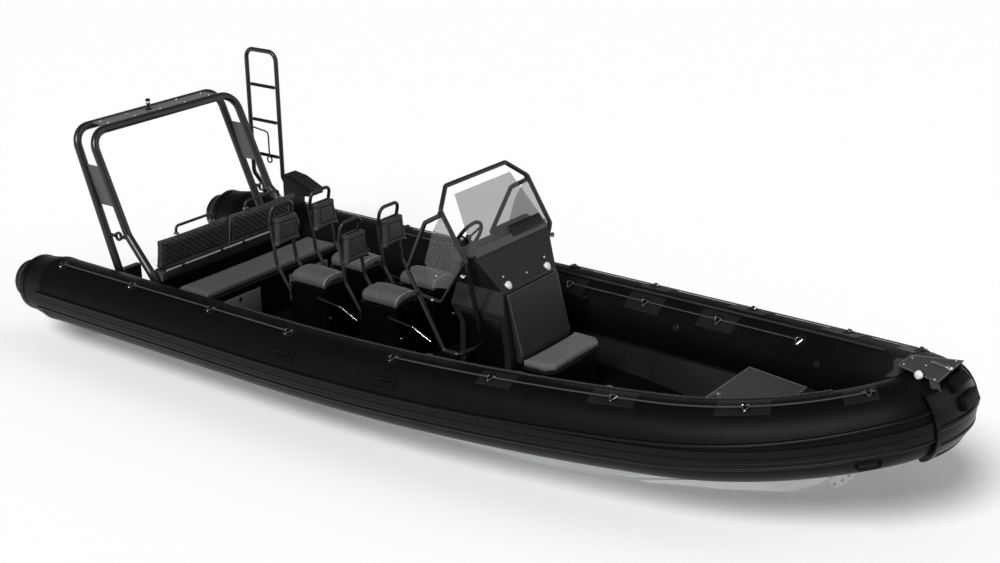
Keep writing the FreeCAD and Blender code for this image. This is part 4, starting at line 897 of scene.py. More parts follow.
def tuck(made: bpy.types.Object, pull: float, axes: tuple[int, int] = (0, 1)) -> None:
    """Pulls a cushion's sides in between its corners.

    Args:
        made: The padded piece.
        pull: How far the middle of a side comes in.
        axes: The two axes of its plan.
    """
    lows = [min(vert.co[axis] for vert in made.data.vertices) for axis in axes]
    highs = [max(vert.co[axis] for vert in made.data.vertices) for axis in axes]
    for vert in made.data.vertices:
        first, second = ((vert.co[axis] - low) / (high - low) * 2 - 1
                         for axis, low, high in zip(axes, lows, highs))
        for own, other, axis in ((first, second, axes[0]), (second, first, axes[1])):
            edge = max(0.0, abs(own) - 0.4) / 0.6
            vert.co[axis] -= math.copysign(pull * (1 - other * other) * edge, own)


def surface_of(made: bpy.types.Object) -> BVHTree:
    """Makes a search tree of a piece's surface."""
    return BVHTree.FromPolygons([vert.co for vert in made.data.vertices],
                                [face.vertices for face in made.data.polygons])


def add_piping(mesh: Mesh, made: bpy.types.Object, corners: list[Vector], toward: Vector,
               closed: bool = True) -> None:
    """Lays a sewn cord on a padded piece's surface.

    Args:
        mesh: The mesh to add to.
        made: The padded piece.
        corners: The cord's corners near the surface.
        toward: The direction from the corners to the surface.
        closed: Whether it joins up.
    """
    tree = surface_of(made)
    stops = corners + corners[:1] if closed else corners
    points = []
    for low, high in zip(stops, stops[1:]):
        count = max(1, math.ceil((high - low).length / 0.012))
        points += [low.lerp(high, index / count) for index in range(count)]
    if not closed:
        points.append(stops[-1])
    laid = []
    for point in points:
        hit = tree.ray_cast(point - toward * 0.1, toward)[0]
        laid.append(hit if hit is not None else tree.find_nearest(point)[0])
    add_swept(mesh, laid, 0.0035, 8, closed)


# ---- tubes, lines and their fittings ------------------------------------

@dataclass
class Tubes:
    """The two air tubes: cloth, strakes, patches, grab lines, rings and end caps."""

    # each grab line's angle about the tube and the x of its anchors
    lines: tuple = ((74.0, (-3.61, -2.70, -1.74, -0.86)), (74.0, (0.20, 1.08, 2.07, 3.01, 3.74)),
                    (128.0, (0.36, 1.17, 1.92, 2.74)))
    line_standoff: float = 0.0105
    line_tail: float = 0.040
    # count, offset, radius and pitch of the strands of a grab line and of the bead
    line_lay: tuple[int, float, float, float] = (3, 0.0031, 0.0038, 0.065)
    bead_lay: tuple[int, float, float, float] = (2, 0.0050, 0.0062, 0.090)
    bead_angle: float = 106.0
    bead_x: tuple[float, float] = (-1.75, 3.55)
    bead_standoff: float = 0.004
    # x of each patch, and the angles of the two rows
    upper_patches: tuple = ((0.98, 1.27), (1.89, 2.24), (2.81, 3.17), (3.60, 3.79))
    upper_angles: tuple[float, float] = (60.0, 94.0)
    inner_patches: tuple = ((0.16, 0.52), (0.98, 1.34), (1.73, 2.09))
    inner_angles: tuple[float, float] = (112.0, 146.0)
    patch_proud: float = 0.0025
    anchor_disc: tuple = ((0.058, -0.006), (0.057, 0.003), (0.050, 0.005), (0.026, 0.0055),
                          (0.022, 0.009), (0.0, 0.0095))
    # a ring's half width, how far it runs up and down the tube, its corners and its wire
    ring_half: float = 0.034
    ring_up: float = 0.016
    ring_down: float = 0.055
    ring_standoff: float = 0.013
    ring_corner: float = 0.014
    ring_wire: float = 0.0045
    strake_low: float = -20.0
    strake_high: float = 8.0
    strake_out: float = 0.302
    strake_share: float = 0.47
    # angle, half width in degrees and rise of each level rib
    ribs: tuple = ((-17.8, 2.4, 0.011), (-10.0, 1.0, 0.004))
    # x and angle of the upper rib, which climbs towards the nose
    climb: tuple = ((-3.78, 9.0), (0.60, 9.5), (2.20, 12.5), (3.10, 16.5), (9.0, 21.0))
    climb_half: float = 3.4
    climb_rise: float = 0.019
    # angles of the two edges of the black strip that paints the groove's shade, and how far it
    # stands out
    groove: tuple[float, float] = (-3.3, -2.4)
    shade_strip_proud: float = 0.0012
    # outline and sides of each raised band of the stern cone, back from the tube's end
    cone_bands: tuple = (
        (64, ((0.278, -0.050), (0.292, -0.045), (0.293, -0.005), (0.278, 0.004))),
        (64, ((0.235, 0.220), (0.257, 0.230), (0.257, 0.282), (0.225, 0.300))),
        (48, ((0.174, 0.395), (0.184, 0.410), (0.178, 0.442), (0.150, 0.450))),
        (40, ((0.105, 0.500), (0.099, 0.524), (0.075, 0.532), (0.0, 0.534))))
    valves_x: tuple = (-3.45, -1.95, -0.20, 1.55, 3.00)
    valve_angle: float = 158.0
    valve: tuple = ((0.030, -0.010), (0.030, 0.003), (0.024, 0.006), (0.020, 0.006),
                    (0.018, 0.010), (0.0, 0.011))

    def build(self) -> None:
        """Builds and dresses the tubes."""
        coat(TUBE_CLOTH, "tube_port", "tube_starboard")
        coat(STRAKE_RUBBER, "rub_strake_port", "rub_strake_starboard")
        coat(BLOCK_RUBBER, "tube_fittings_port", "tube_fittings_starboard")
        for word, side in SIDES.items():
            self._patches(word, side)
            self._strake_ribs(word, side)
            self._ropes(word, side)
            self._rings(word, side)
            self._bead(word, side)
            self._cone_bands(word, side)
            self._valves(word, side)

    def _anchors(self) -> list[tuple[float, float]]:
        """Lists the angle and x of every anchor of a side's grab lines."""
        return [(angle, x) for angle, places in self.lines for x in places]

    def _patches(self, word: str, side: int) -> None:
        """Builds the reinforcing patches and the discs under the rings."""
        mesh = bmesh.new()
        sunk, edge = LINE.radius - 0.002, 0.8
        for spans, (low, high) in ((self.upper_patches, self.upper_angles),
                                   (self.inner_patches, self.inner_angles)):
            steps = math.ceil((high - low) / 6)
            outer = [(low + (high - low) * index / steps, LINE.radius + self.patch_proud)
                     for index in range(steps + 1)]
            section = [(low - edge, sunk), *outer, (high + edge, sunk)]
            for x_from, x_to in spans:
                LINE.add_strip(mesh, side, LINE.stretch(x_from, x_to, 0.03), section)
        for angle, x in self._anchors():
            skin, _, out = LINE.frame(x, angle, side)
            add_turned(mesh, skin, out, self.anchor_disc, 28)
        piece(f"tube_patches_{word}", mesh, PATCH_CLOTH_PAINTED_SHEEN)

    def _strake_ribs(self, word: str, side: int) -> None:
        """Builds the strake's round-topped ribs and a black strip of painted groove shade."""
        mesh, groove = bmesh.new(), bmesh.new()
        along = LINE.stretch(LINE.straight_aft_x, LINE.nose_start.x, 0.05)
        round_nose = LINE.nose_stretch(0.0, self.strake_share)
        sunk = self.strake_out - 0.002
        for angle, half, rise in self.ribs:
            section = [(angle - half, LINE.radius), *domed(angle, half, sunk, rise),
                       (angle + half, LINE.radius)]
            for places in (along, round_nose):
                LINE.add_strip(mesh, side, places, section)
        self._climbing_rib(mesh, side)
        foot = LINE.radius - 0.002
        angles = (self.strake_low, -16, -12, -8, -4, 0, 4, self.strake_high)
        layer = [(self.strake_low, foot), *((angle, self.strake_out) for angle in angles),
                 (self.strake_high, foot)]
        LINE.add_strip(mesh, side, round_nose, layer)
        # the groove's line of shade is painted as a black strip just proud of the strake
        low, high = self.groove
        face = self.strake_out + self.shade_strip_proud
        dark = [(low, sunk), (low + 0.1, face), (high - 0.1, face), (high, sunk)]
        for places in (along, round_nose):
            LINE.add_strip(groove, side, places, dark)
        piece(f"strake_ribs_{word}", mesh, STRAKE_RUBBER)
        piece(f"strake_groove_painted_shade_{word}", groove, PAINTED_GROOVE_SHADE)

    def _climb_angle(self, x: float) -> float:
        """Finds the upper rib's angle at x."""
        for (low_x, low), (high_x, high) in zip(self.climb, self.climb[1:]):
            end = min(high_x, LINE.nose_start.x)
            if x <= end + 1e-6:
                return low + (high - low) * (x - low_x) / (end - low_x)
        return self.climb[-1][1]

    def _climbing_rib(self, mesh: Mesh, side: int) -> None:
        """Adds the round upper rib, which climbs forward and runs on round the nose."""
        start, length = LINE.straight_aft_x, LINE.nose_start.x - LINE.straight_aft_x
        stops = [start + length * index / 150 for index in range(151)]
        places = [(LINE.at(x), self._climb_angle(x)) for x in stops]
        places += [(LINE.nose_at(self.strake_share * index / 12), self.climb[-1][1])
                   for index in range(1, 13)]
        sunk = 0.003
        sections = [domed(angle, self.climb_half, LINE.radius - sunk, self.climb_rise + sunk, 10)
                    for _, angle in places]
        LINE.add_strip(mesh, side, [place for place, _ in places], sections)

    @staticmethod
    def _add_laid(mesh: Mesh, side: int, angle: float, x_from: float, x_to: float,
                  standoff: float, step: float, lay: tuple[int, float, float, float]) -> None:
        """Lays strands round a line that runs over the tube.

        Args:
            mesh: The mesh to add to.
            side: 1 for port, -1 for starboard.
            angle: The line's angle about the tube's axis.
            x_from: Where it starts.
            x_to: Where it ends.
            standoff: How far its centre is from the tube's skin.
            step: The longest stretch between its points.
            lay: Count, offset, radius and pitch of its strands.
        """
        strands, offset, radius, pitch = lay
        count = math.ceil((x_to - x_from) / step)
        path = []
        for index in range(count + 1):
            x = x_from + (x_to - x_from) * index / count
            _, along, out = LINE.frame(x, angle, side)
            point = LINE.off(LINE.at(x), angle, LINE.radius + standoff, side)
            path.append((point, out, along.cross(out)))
        for strand in range(strands):
            travelled = 0.0
            points = []
            for index, (point, out, across) in enumerate(path):
                if index:
                    travelled += (point - path[index - 1][0]).length
                turn = 2 * math.pi * (travelled / pitch + strand / strands)
                points.append(point + (out * math.cos(turn) + across * math.sin(turn)) * offset)
            add_swept(mesh, points, radius, 6)

    def _ropes(self, word: str, side: int) -> None:
        """Builds the laid grab lines."""
        mesh = bmesh.new()
        for angle, places in self.lines:
            self._add_laid(mesh, side, angle, places[0] - self.line_tail,
                           places[-1] + self.line_tail, self.line_standoff, 0.006, self.line_lay)
        rope = piece(f"grab_line_strands_{word}", mesh, ROPE)
        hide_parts(f"grab_lines_{word}")

    def _rings(self, word: str, side: int) -> None:
        """Builds the three-cornered wire rings at the anchors."""
        mesh = bmesh.new()
        for angle, x in self._anchors():
            skin, along, out = LINE.frame(x, angle, side)
            down = along.cross(out)
            past_crown = angle > 90
            if abs((skin + down).y) > abs(skin.y) if past_crown else down.z > 0:
                down = -down
            seat = skin + out * self.ring_standoff
            foot, half = seat - down * self.ring_up, along * self.ring_half
            corners = [foot - half, foot + half, seat + down * self.ring_down]
            add_swept(mesh, softened(corners, self.ring_corner), self.ring_wire, 8, closed=True)
        piece(f"line_rings_{word}", mesh, STAINLESS)

    def _bead(self, word: str, side: int) -> None:
        """Builds the laced bead along the inner crown of the tube."""
        mesh = bmesh.new()
        self._add_laid(mesh, side, self.bead_angle, *self.bead_x, self.bead_standoff, 0.012,
                       self.bead_lay)
        piece(f"laced_bead_{word}", mesh, LACING)

    def _cone_bands(self, word: str, side: int) -> None:
        """Builds the raised bands and the end plug of the stern cone."""
        mesh = bmesh.new()
        base = Vector((LINE.straight_aft_x, LINE.base.y * side, LINE.axis_z))
        for sides, outline in self.cone_bands:
            add_turned(mesh, base, -FORWARD, outline, sides)
        piece(f"cone_bands_{word}", mesh, STRAKE_RUBBER)

    def _valves(self, word: str, side: int) -> None:
        """Builds the inflation valves on the inner side of the tube."""
        mesh = bmesh.new()
        for x in self.valves_x:
            skin, _, out = LINE.frame(x, self.valve_angle, side)
            add_turned(mesh, skin, out, self.valve)
        piece(f"air_valves_{word}", mesh, MOULDED)


# ---- hull ---------------------------------------------------------------

@dataclass
class Hull:
    """The V hull, its spray rails, the cockpit sole and the transom."""

    # x, keel height, chine half breadth, chine height
    stations: tuple = ((-3.70, -0.330, 0.950, 0.090), (0.0, -0.330, 0.945, 0.092),
                       (1.30, -0.330, 0.890, 0.125), (2.03, -0.300, 0.790, 0.190),
                       (2.56, -0.180, 0.650, 0.290), (2.90, -0.045, 0.520, 0.390))
    # each rail's share of the way from keel to chine, and the x of its forward end
    rails: tuple = ((0.80, 2.45), (0.42, 2.05))
    rail_aft_x: float = -3.65
    rail_width: float = 0.038
    rail_drop: float = 0.022
    rail_steps: int = 60
    rail_taper: int = 6
    transom_x: float = -3.700
    clamp_half: float = 0.240
    clamp_z: tuple[float, float] = (0.030, 0.325)
    clamp_thick: float = 0.006
    drain_y: float = 0.55
    drain_z: float = 0.30
    drain: tuple = ((0.038, 0.0), (0.038, 0.004), (0.030, 0.006), (0.026, 0.006),
                    (0.022, 0.012), (0.0, 0.013))
    # an eye's corners from its drain plug: distance out and across
    eye: tuple = ((0.0, -0.12), (0.035, -0.11), (0.035, -0.03), (0.0, -0.02))
    eye_z: float = 0.44
    eye_wire: float = 0.007

    def build(self) -> None:
        """Builds and dresses the hull."""
        coat(HULL_SHELL, "hull")
        coat(DECK_MAT, "deck")
        coat(BLACK_COAT, "transom")
        coat(HULL_PLATE, "towing_eye")
        for word, side in SIDES.items():
            self._spray_rails(word, side)
        self._transom_fittings()

    def _bottom(self, x: float, share: float, side: int) -> Vector:
        """Finds a point on the hull's bottom, from keel to chine."""
        for low, high in zip(self.stations, self.stations[1:]):
            if x <= high[0]:
                break
        part = (x - low[0]) / (high[0] - low[0])
        keel, half, chine = (low[i] + (high[i] - low[i]) * part for i in (1, 2, 3))
        return Vector((x, side * half * share, keel + (chine - keel) * share))

    def _spray_rails(self, word: str, side: int) -> None:
        """Builds the pressed rails that throw spray off the bottom."""
        mesh = bmesh.new()
        for share, x_to in self.rails:
            rings = []
            for index in range(self.rail_steps + 1):
                x = self.rail_aft_x + (x_to - self.rail_aft_x) * index / self.rail_steps
                taper = min(1.0, (self.rail_steps - index) / self.rail_taper + 0.05)
                seat = self._bottom(x, share, side)
                up = (self._bottom(x, share + 0.02, side) - seat).normalized()
                outer = seat + up * self.rail_width * taper
                edge = outer + Vector((0, side * 0.002, -self.rail_drop * taper))
                rings.append([mesh.verts.new(point) for point in (seat - up * 0.004, edge, outer)])
            bridge(mesh, rings)
        piece(f"spray_rails_{word}", mesh, HULL_PLATE, crease_deg=20)

    def _transom_fittings(self) -> None:
        """Builds the clamp plate, drain plugs and lifting eyes on the transom."""
        mesh = bmesh.new()
        aft, (low, high) = self.transom_x, self.clamp_z
        add_block(mesh, (aft - self.clamp_thick, -self.clamp_half, low),
                  (aft, self.clamp_half, high), 0.002, 2)
        for side in SIDES.values():
            y = side * self.drain_y
            add_turned(mesh, Vector((aft, y, self.drain_z)), -FORWARD, self.drain)
            add_swept(mesh, [Vector((aft - out, y + across, self.eye_z))
                             for out, across in self.eye], self.eye_wire, 8)
        piece("transom_fittings", mesh, STAINLESS)


# ---- bow ----------------------------------------------------------------

@dataclass
class Bow:
    """The nose: fender, step plate, lamp, and the stowage box behind it."""

    plate_x: tuple[float, float] = (3.770, 4.110)
    plate_half: tuple[float, float] = (0.107, 0.226)
    plate_top: float = 1.266
    fender_share: float = 0.45
    fender_angles: tuple[int, int] = (-80, 46)
    fender_sunk: float = 0.003
    fender_proud: float = 0.026
    # angle, half width in degrees and rise of each of the fender's ribs
    fender_ribs: tuple = ((-3.0, 4.0, 0.016), (-28.0, 3.5, 0.012), (-54.0, 3.5, 0.012))
    lip_share: float = 0.05
    lip_proud: float = 0.009
    # angle, half width in degrees and distance from the axis of each landing block
    blocks: tuple = ((50.0, 8.5, 0.356), (25.0, 9.5, 0.352))
    block_foot: float = 0.300
    block_shoulder: float = 0.345
    block_half: float = 0.115
    # the bar's line over the plate: x, y and whether it is clear of the plate
    bar: tuple = ((3.950, 0.060, 0), (3.960, 0.057, 1), (4.075, 0.020, 1), (4.085, 0.017, 0))
    bar_rise: float = 0.010
    roller: tuple = ((0.012, 0.0), (0.021, 0.003), (0.017, 0.020), (0.021, 0.037),
                     (0.012, 0.040))
    # half spacing and corners of each pair of webs under the plate
    webs: tuple = ((0.100, ((3.775, 1.2585), (3.688, 1.160), (3.706, 1.160), (3.790, 1.185))),
                   (0.200, ((4.105, 1.2585), (4.040, 1.2585), (4.055, 1.200), (4.128, 1.150),
                            (4.140, 1.165))))
    web_thick: float = 0.006
    plate_bolts: tuple = ((3.80, 0.07), (3.80, -0.07), (4.07, 0.19), (4.07, -0.19), (3.93, 0.0))
    lamp_back: float = 0.017
    lamp_lens: tuple = ((0.029, 0.0), (0.0315, 0.004), (0.0315, 0.022), (0.026, 0.034),
                        (0.014, 0.0385), (0.0, 0.039))
    lamp_bezel: tuple = ((0.034, -0.001), (0.035, 0.004), (0.034, 0.009), (0.031, 0.010))
    # the lid rim's x, and its half width at either end
    lid_rim_in: float = 0.012
    lid_fwd_x: float = 2.833
    lid_half: tuple[float, float] = (0.562, 0.472)
    # x, half width and height of the apron's two ends
    apron_aft: tuple[float, float, float] = (3.020, 0.460, 0.455)
    apron_fwd: tuple[float, float, float] = (3.740, 0.200, 0.860)
    apron_sag: float = 0.060
    apron_thick: float = 0.005
    apron_steps: int = 12

    def build(self) -> None:
        """Builds and dresses the bow."""
        coat(STRAKE_RUBBER, "bow_fender")
        coat(TREAD_COAT, "bow_step", "bow_locker_lid")
        coat(BLACK_COAT, "bow_locker")
        self._fender()
        self._landing_blocks()
        self._step_plate()
        self._lamp()
        self._locker()
        self._apron()

    def _fender(self) -> None:
        """Builds the moulded fender round the nose with its ribs and end lips."""
        mesh = bmesh.new()
        skin, out = LINE.radius - self.fender_sunk, LINE.radius + self.fender_proud
        start, end = self.fender_share, 2 - self.fender_share
        low, high = self.fender_angles
        shell = [(low, skin), (low, out - 0.010), (low + 3, out),
                 *((angle, out) for angle in range(low + 10, high - 5, 5)),
                 (high - 3, out), (high, out - 0.010), (high, skin)]
        LINE.add_strip(mesh, 1, LINE.nose_stretch(start, end), shell)
        inset = 0.02
        for angle, half, rise in self.fender_ribs:
            rib = [(angle - half, out - 0.004), *domed(angle, half, out - 0.002, rise),
                   (angle + half, out - 0.004)]
            LINE.add_strip(mesh, 1, LINE.nose_stretch(start + inset, end - inset), rib)
        lip = [(low, skin), (low, out),
               *((angle, out + self.lip_proud) for angle in range(low + 3, high - 2, 5)),
               (high, out), (high, skin)]
        for share in (start, end - self.lip_share):
            LINE.add_strip(mesh, 1, LINE.nose_stretch(share, share + self.lip_share), lip)
        made = piece("nose_fender", mesh, STRAKE_RUBBER)
        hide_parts("bow_fender")

    def _landing_blocks(self) -> None:
        """Builds the two moulded blocks on the nose that take a quay or another hull."""
        axis = LINE.nose_at(1.0)[0]
        mesh = bmesh.new()
        for angle, half, out in self.blocks:
            outline = []
            section = ((angle - half, self.block_foot), (angle - half * 0.8, out),
                       (angle + half * 0.5, out), (angle + half, self.block_shoulder),
                       (angle + half, self.block_foot))
            for turn_deg, radius in section:
                turn = math.radians(turn_deg)
                outline.append(Vector((axis.x + radius * math.cos(turn), -self.block_half,
                                       axis.z + radius * math.sin(turn))))
            add_extruded(mesh, outline, PORT * self.block_half * 2)
        bmesh.ops.recalc_face_normals(mesh, faces=mesh.faces)
        bmesh.ops.bevel(mesh, geom=list(mesh.edges), offset=0.007, segments=3, profile=0.5,
                        affect="EDGES")
        piece("landing_blocks", mesh, BLOCK_RUBBER)

    def _step_plate(self) -> None:
        """Builds the step plate's rolled rim, its bar and roller, its webs and its bolts."""
        rim, bar, webs, bolts = bmesh.new(), bmesh.new(), bmesh.new(), bmesh.new()
        (aft, fwd), (aft_half, fwd_half), top = self.plate_x, self.plate_half, self.plate_top
        corners = [Vector(corner) for corner in ((aft, aft_half, top), (fwd, fwd_half, top),
                                                 (fwd, -fwd_half, top), (aft, -aft_half, top))]
        centre = sum(corners, Vector()) / len(corners)
        add_swept(rim, [corner.lerp(centre, 0.03) - UP * 0.002 for corner in corners], 0.005, 8,
                  closed=True)
        line = [Vector((x, y, top + self.bar_rise if clear else top - 0.002))
                for x, y, clear in self.bar]
        add_swept(bar, rounded(line, 0.008), 0.0095, 12)
        add_turned(bar, Vector((4.090, -0.028, top + 0.014)), Vector((0.25, 1.0, 0)), self.roller)
        for side in SIDES.values():
            for y, outline in self.webs:
                add_extruded(webs, upright(side * y, outline), PORT * side * self.web_thick)
        for x, y in self.plate_bolts:
            add_bolt(bolts, Vector((x, y, top)), UP)
        piece("step_plate_rim", rim, GREY_COAT)
        piece("step_roller_and_bar", bar, STAINLESS)
        piece("step_webs", webs, TREAD_COAT)
        piece("step_bolts", bolts, STAINLESS)

    def _lamp(self) -> None:
        """Builds the bow light's housing and lens."""
        low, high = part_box("navigation_light")
        (aft, fwd), (aft_half, fwd_half) = self.plate_x, self.plate_half
        edge = Vector((fwd - aft, aft_half - fwd_half, 0)).normalized()
        out = Vector((edge.y, -edge.x, 0))
        base = (low + high) / 2 - out * self.lamp_back
        lens, bezel = bmesh.new(), bmesh.new()
        add_turned(lens, base, out, self.lamp_lens, 32)
        add_turned(bezel, base, out, self.lamp_bezel, 32)
        made = piece("bow_lamp_lens", lens, LENS)
        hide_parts("navigation_light")
        piece("bow_lamp_bezel", bezel, MOULDED)

    def _locker(self) -> None:
        """Builds the locker lid's latch and rim."""
        low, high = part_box("bow_locker_lid")
        latch, rim = bmesh.new(), bmesh.new()
        add_block(latch, (low.x + 0.030, -0.030, high.z - 0.004),
                  (low.x + 0.075, 0.030, high.z + 0.005), 0.003)
        add_turned(latch, Vector((low.x + 0.053, 0, high.z + 0.004)), UP,
                   [(0.017, 0), (0.017, 0.003), (0.012, 0.004), (0.0, 0.0042)])
        piece("locker_latch", latch, STAINLESS, body="locker_lid")
        aft, top, (aft_half, fwd_half) = low.x + self.lid_rim_in, high.z - 0.001, self.lid_half
        add_swept(rim, [Vector((aft, -aft_half, top)), Vector((self.lid_fwd_x, -fwd_half, top)),
                        Vector((self.lid_fwd_x, fwd_half, top)), Vector((aft, aft_half, top))],
                  0.005, 8, closed=True)
        piece("locker_lid_rim", rim, GREY_COAT, body="locker_lid")

    def _apron(self) -> None:
        """Builds the panel that closes the bow between the locker, the hull and the nose."""
        mesh = bmesh.new()
        rings = []
        for index in range(self.apron_steps + 1):
            share = index / self.apron_steps
            x, half, z = Vector(self.apron_aft).lerp(Vector(self.apron_fwd), share)
            z -= self.apron_sag * math.sin(math.pi * share)
            below = z - self.apron_thick
            rings.append([mesh.verts.new(point) for point in
                          ((x, -half, z), (x, half, z), (x, half, below), (x, -half, below))])
        bridge(mesh, rings)
        piece("bow_apron", mesh, DECK_MAT)


# ---- arch, ladder and boarding step -------------------------------------

@dataclass
class Stern:
    """The arch over the stern, the boarding ladder and the step beside it."""

    top_plate_x: tuple[float, float] = (-3.786, -3.560)
    top_plate_half: float = 0.690
    top_z: float = 1.978
    plate_bolts_y: tuple = (-0.62, -0.31, 0.0, 0.31, 0.62)
    stalk_foot: tuple = ((0.032, 0.0), (0.032, 0.006), (0.019, 0.010), (0.015, 0.016),
                         (0.0145, 0.050), (0.022, 0.055), (0.023, 0.062), (0.0, 0.062))
    stalk_top: tuple = ((0.0, 0.082), (0.0235, 0.082), (0.023, 0.092), (0.015, 0.101),
                        (0.0, 0.102))
    stalk_lens: tuple = ((0.0195, 0.062), (0.0205, 0.066), (0.0205, 0.078), (0.0195, 0.082))
    ladder_x: tuple[float, float] = (-3.688, -3.292)
    rung_y: float = 1.225
    rungs_z: tuple = (1.966, 1.611, 1.261)
    grip_in: float = 0.045
    grip_ribs: int = 22
    # radii of a grip's ends, ribs and grooves
    grip_radii: tuple[float, float, float] = (0.0145, 0.0168, 0.0156)
    # x and height of the boarding step's top line
    step_line: tuple = ((-3.150, 1.150), (-3.000, 1.128), (-2.790, 1.040))
    tread_in: float = 0.018
    rib_spacing: float = 0.026
    feet_x: tuple[float, float] = (-3.300, -2.834)
    foot_y: float = 0.865
    foot_ring: float = 0.0398

    def build(self) -> None:
        """Builds and dresses the stern."""
        coat(BLACK_COAT, "arch_frame", "ladder_bracket", "ladder_stay", "boarding_ladder")
        coat(GREY_COAT, "arch_top_plate")
        coat(BROW_COAT, "arch_side_plates")
        coat(MOULDED, "tube_step")
        self._top_plate()
        self._mast_light()
        self._rung_grips()
        self._step_top()
        self._flange_bolts()

    def _top_plate(self) -> None:
        """Builds the top plate's bolts and folded lips."""
        bolts, lips = bmesh.new(), bmesh.new()
        aft, fwd = self.top_plate_x
        for y in self.plate_bolts_y:
            # the light's foot takes the place of the middle bolt at the back
            for x in (aft + 0.055, fwd - 0.055) if y else (fwd - 0.055,):
                add_bolt(bolts, Vector((x, y, self.top_z + 0.003)), UP, 0.006)
        for x in (aft + 0.032, fwd - 0.032):
            half = self.top_plate_half - 0.010
            add_block(lips, (x - 0.002, -half, self.top_z + 0.001),
                      (x + 0.002, half, self.top_z + 0.009), 0.001, 2)
        piece("arch_bolts", bolts, STAINLESS)
        piece("arch_plate_lips", lips, GREY_COAT)

    def _mast_light(self) -> None:
        """Builds the all-round light on its short stalk."""
        low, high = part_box("arch_light")
        foot = Vector(((low.x + high.x) / 2, (low.y + high.y) / 2, low.z))
        stalk, lens = bmesh.new(), bmesh.new()
        add_turned(stalk, foot, UP, self.stalk_foot)
        add_turned(stalk, foot, UP, self.stalk_top)
        add_turned(lens, foot, UP, self.stalk_lens)
        piece("mast_light_stalk", stalk, MOULDED)
        glass = piece("mast_light_lens", lens, LENS)
        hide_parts("arch_light")

    def _rung_grips(self) -> None:
        """Builds the ribbed sleeves on the ladder's rungs."""
        aft, fwd = self.ladder_x
        end, rib, groove = self.grip_radii
        length = fwd - aft - 2 * self.grip_in
        spacing = length / self.grip_ribs
        outline = [(end, 0.0)]
        for index in range(self.grip_ribs):
            at = spacing * index
            outline += [(rib, at + 0.002), (rib, at + spacing * 0.6),
                        (groove, at + spacing * 0.75)]
        outline.append((end, length))
        mesh = bmesh.new()
        for z in self.rungs_z:
            add_turned(mesh, Vector((aft + self.grip_in, self.rung_y, z)), FORWARD, outline, 20)
        piece("rung_grips", mesh, STRAKE_RUBBER, body="ladder")

    def _step_top(self) -> None:
        """Builds the boarding step's tread, its ribs and the beads along its edges."""
        low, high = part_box("tube_step")
        tread, ribs, bead = bmesh.new(), bmesh.new(), bmesh.new()
        tops = upright(0.0, self.step_line)
        near, far = PORT * (low.y + self.tread_in), PORT * (high.y - self.tread_in)
        for start, end in zip(tops, tops[1:]):
            way = (end - start).normalized()
            out = Vector((-way.z, 0, way.x))
            first, last = start + way * 0.014, end - way * 0.014
            add_extruded(tread, [point - out * 0.002 for point in
                                 (first + near, last + near, last + far, first + far)],
                         out * 0.005)
            for index in range(int((last - first).length / self.rib_spacing)):
                at = first + way * (0.010 + self.rib_spacing * index) + out * 0.003
                add_swept(ribs, [at + near + PORT * 0.012, at + far - PORT * 0.012], 0.0045, 8)
        piece("step_tread", tread, VINYL)
        piece("step_ribs", ribs, STRAKE_RUBBER)
        for y in (low.y, high.y):
            add_swept(bead, [point + PORT * y - UP * 0.006 for point in tops], 0.006, 8)
        piece("step_bead", bead, STRAKE_RUBBER)

    def _flange_bolts(self) -> None:
        """Builds the bolts round the arch's feet."""
        mesh = bmesh.new()
        low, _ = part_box("arch_frame")
        for x in self.feet_x:
            for side in SIDES.values():
                for turn in (math.pi / 4 + quarter * math.pi / 2 for quarter in range(4)):
                    at = Vector((x + self.foot_ring * math.cos(turn),
                                 side * self.foot_y + self.foot_ring * math.sin(turn),
                                 low.z + 0.009))
                    add_turned(mesh, at, UP, [(0.0028, 0), (0.0028, 0.003), (0.0015, 0.004)], 8)
        piece("flange_bolts", mesh, STAINLESS)


# ---- seats --------------------------------------------------------------

CATCH = ((0.020, 0.0), (0.020, 0.003), (0.012, 0.004), (0.0, 0.0045))


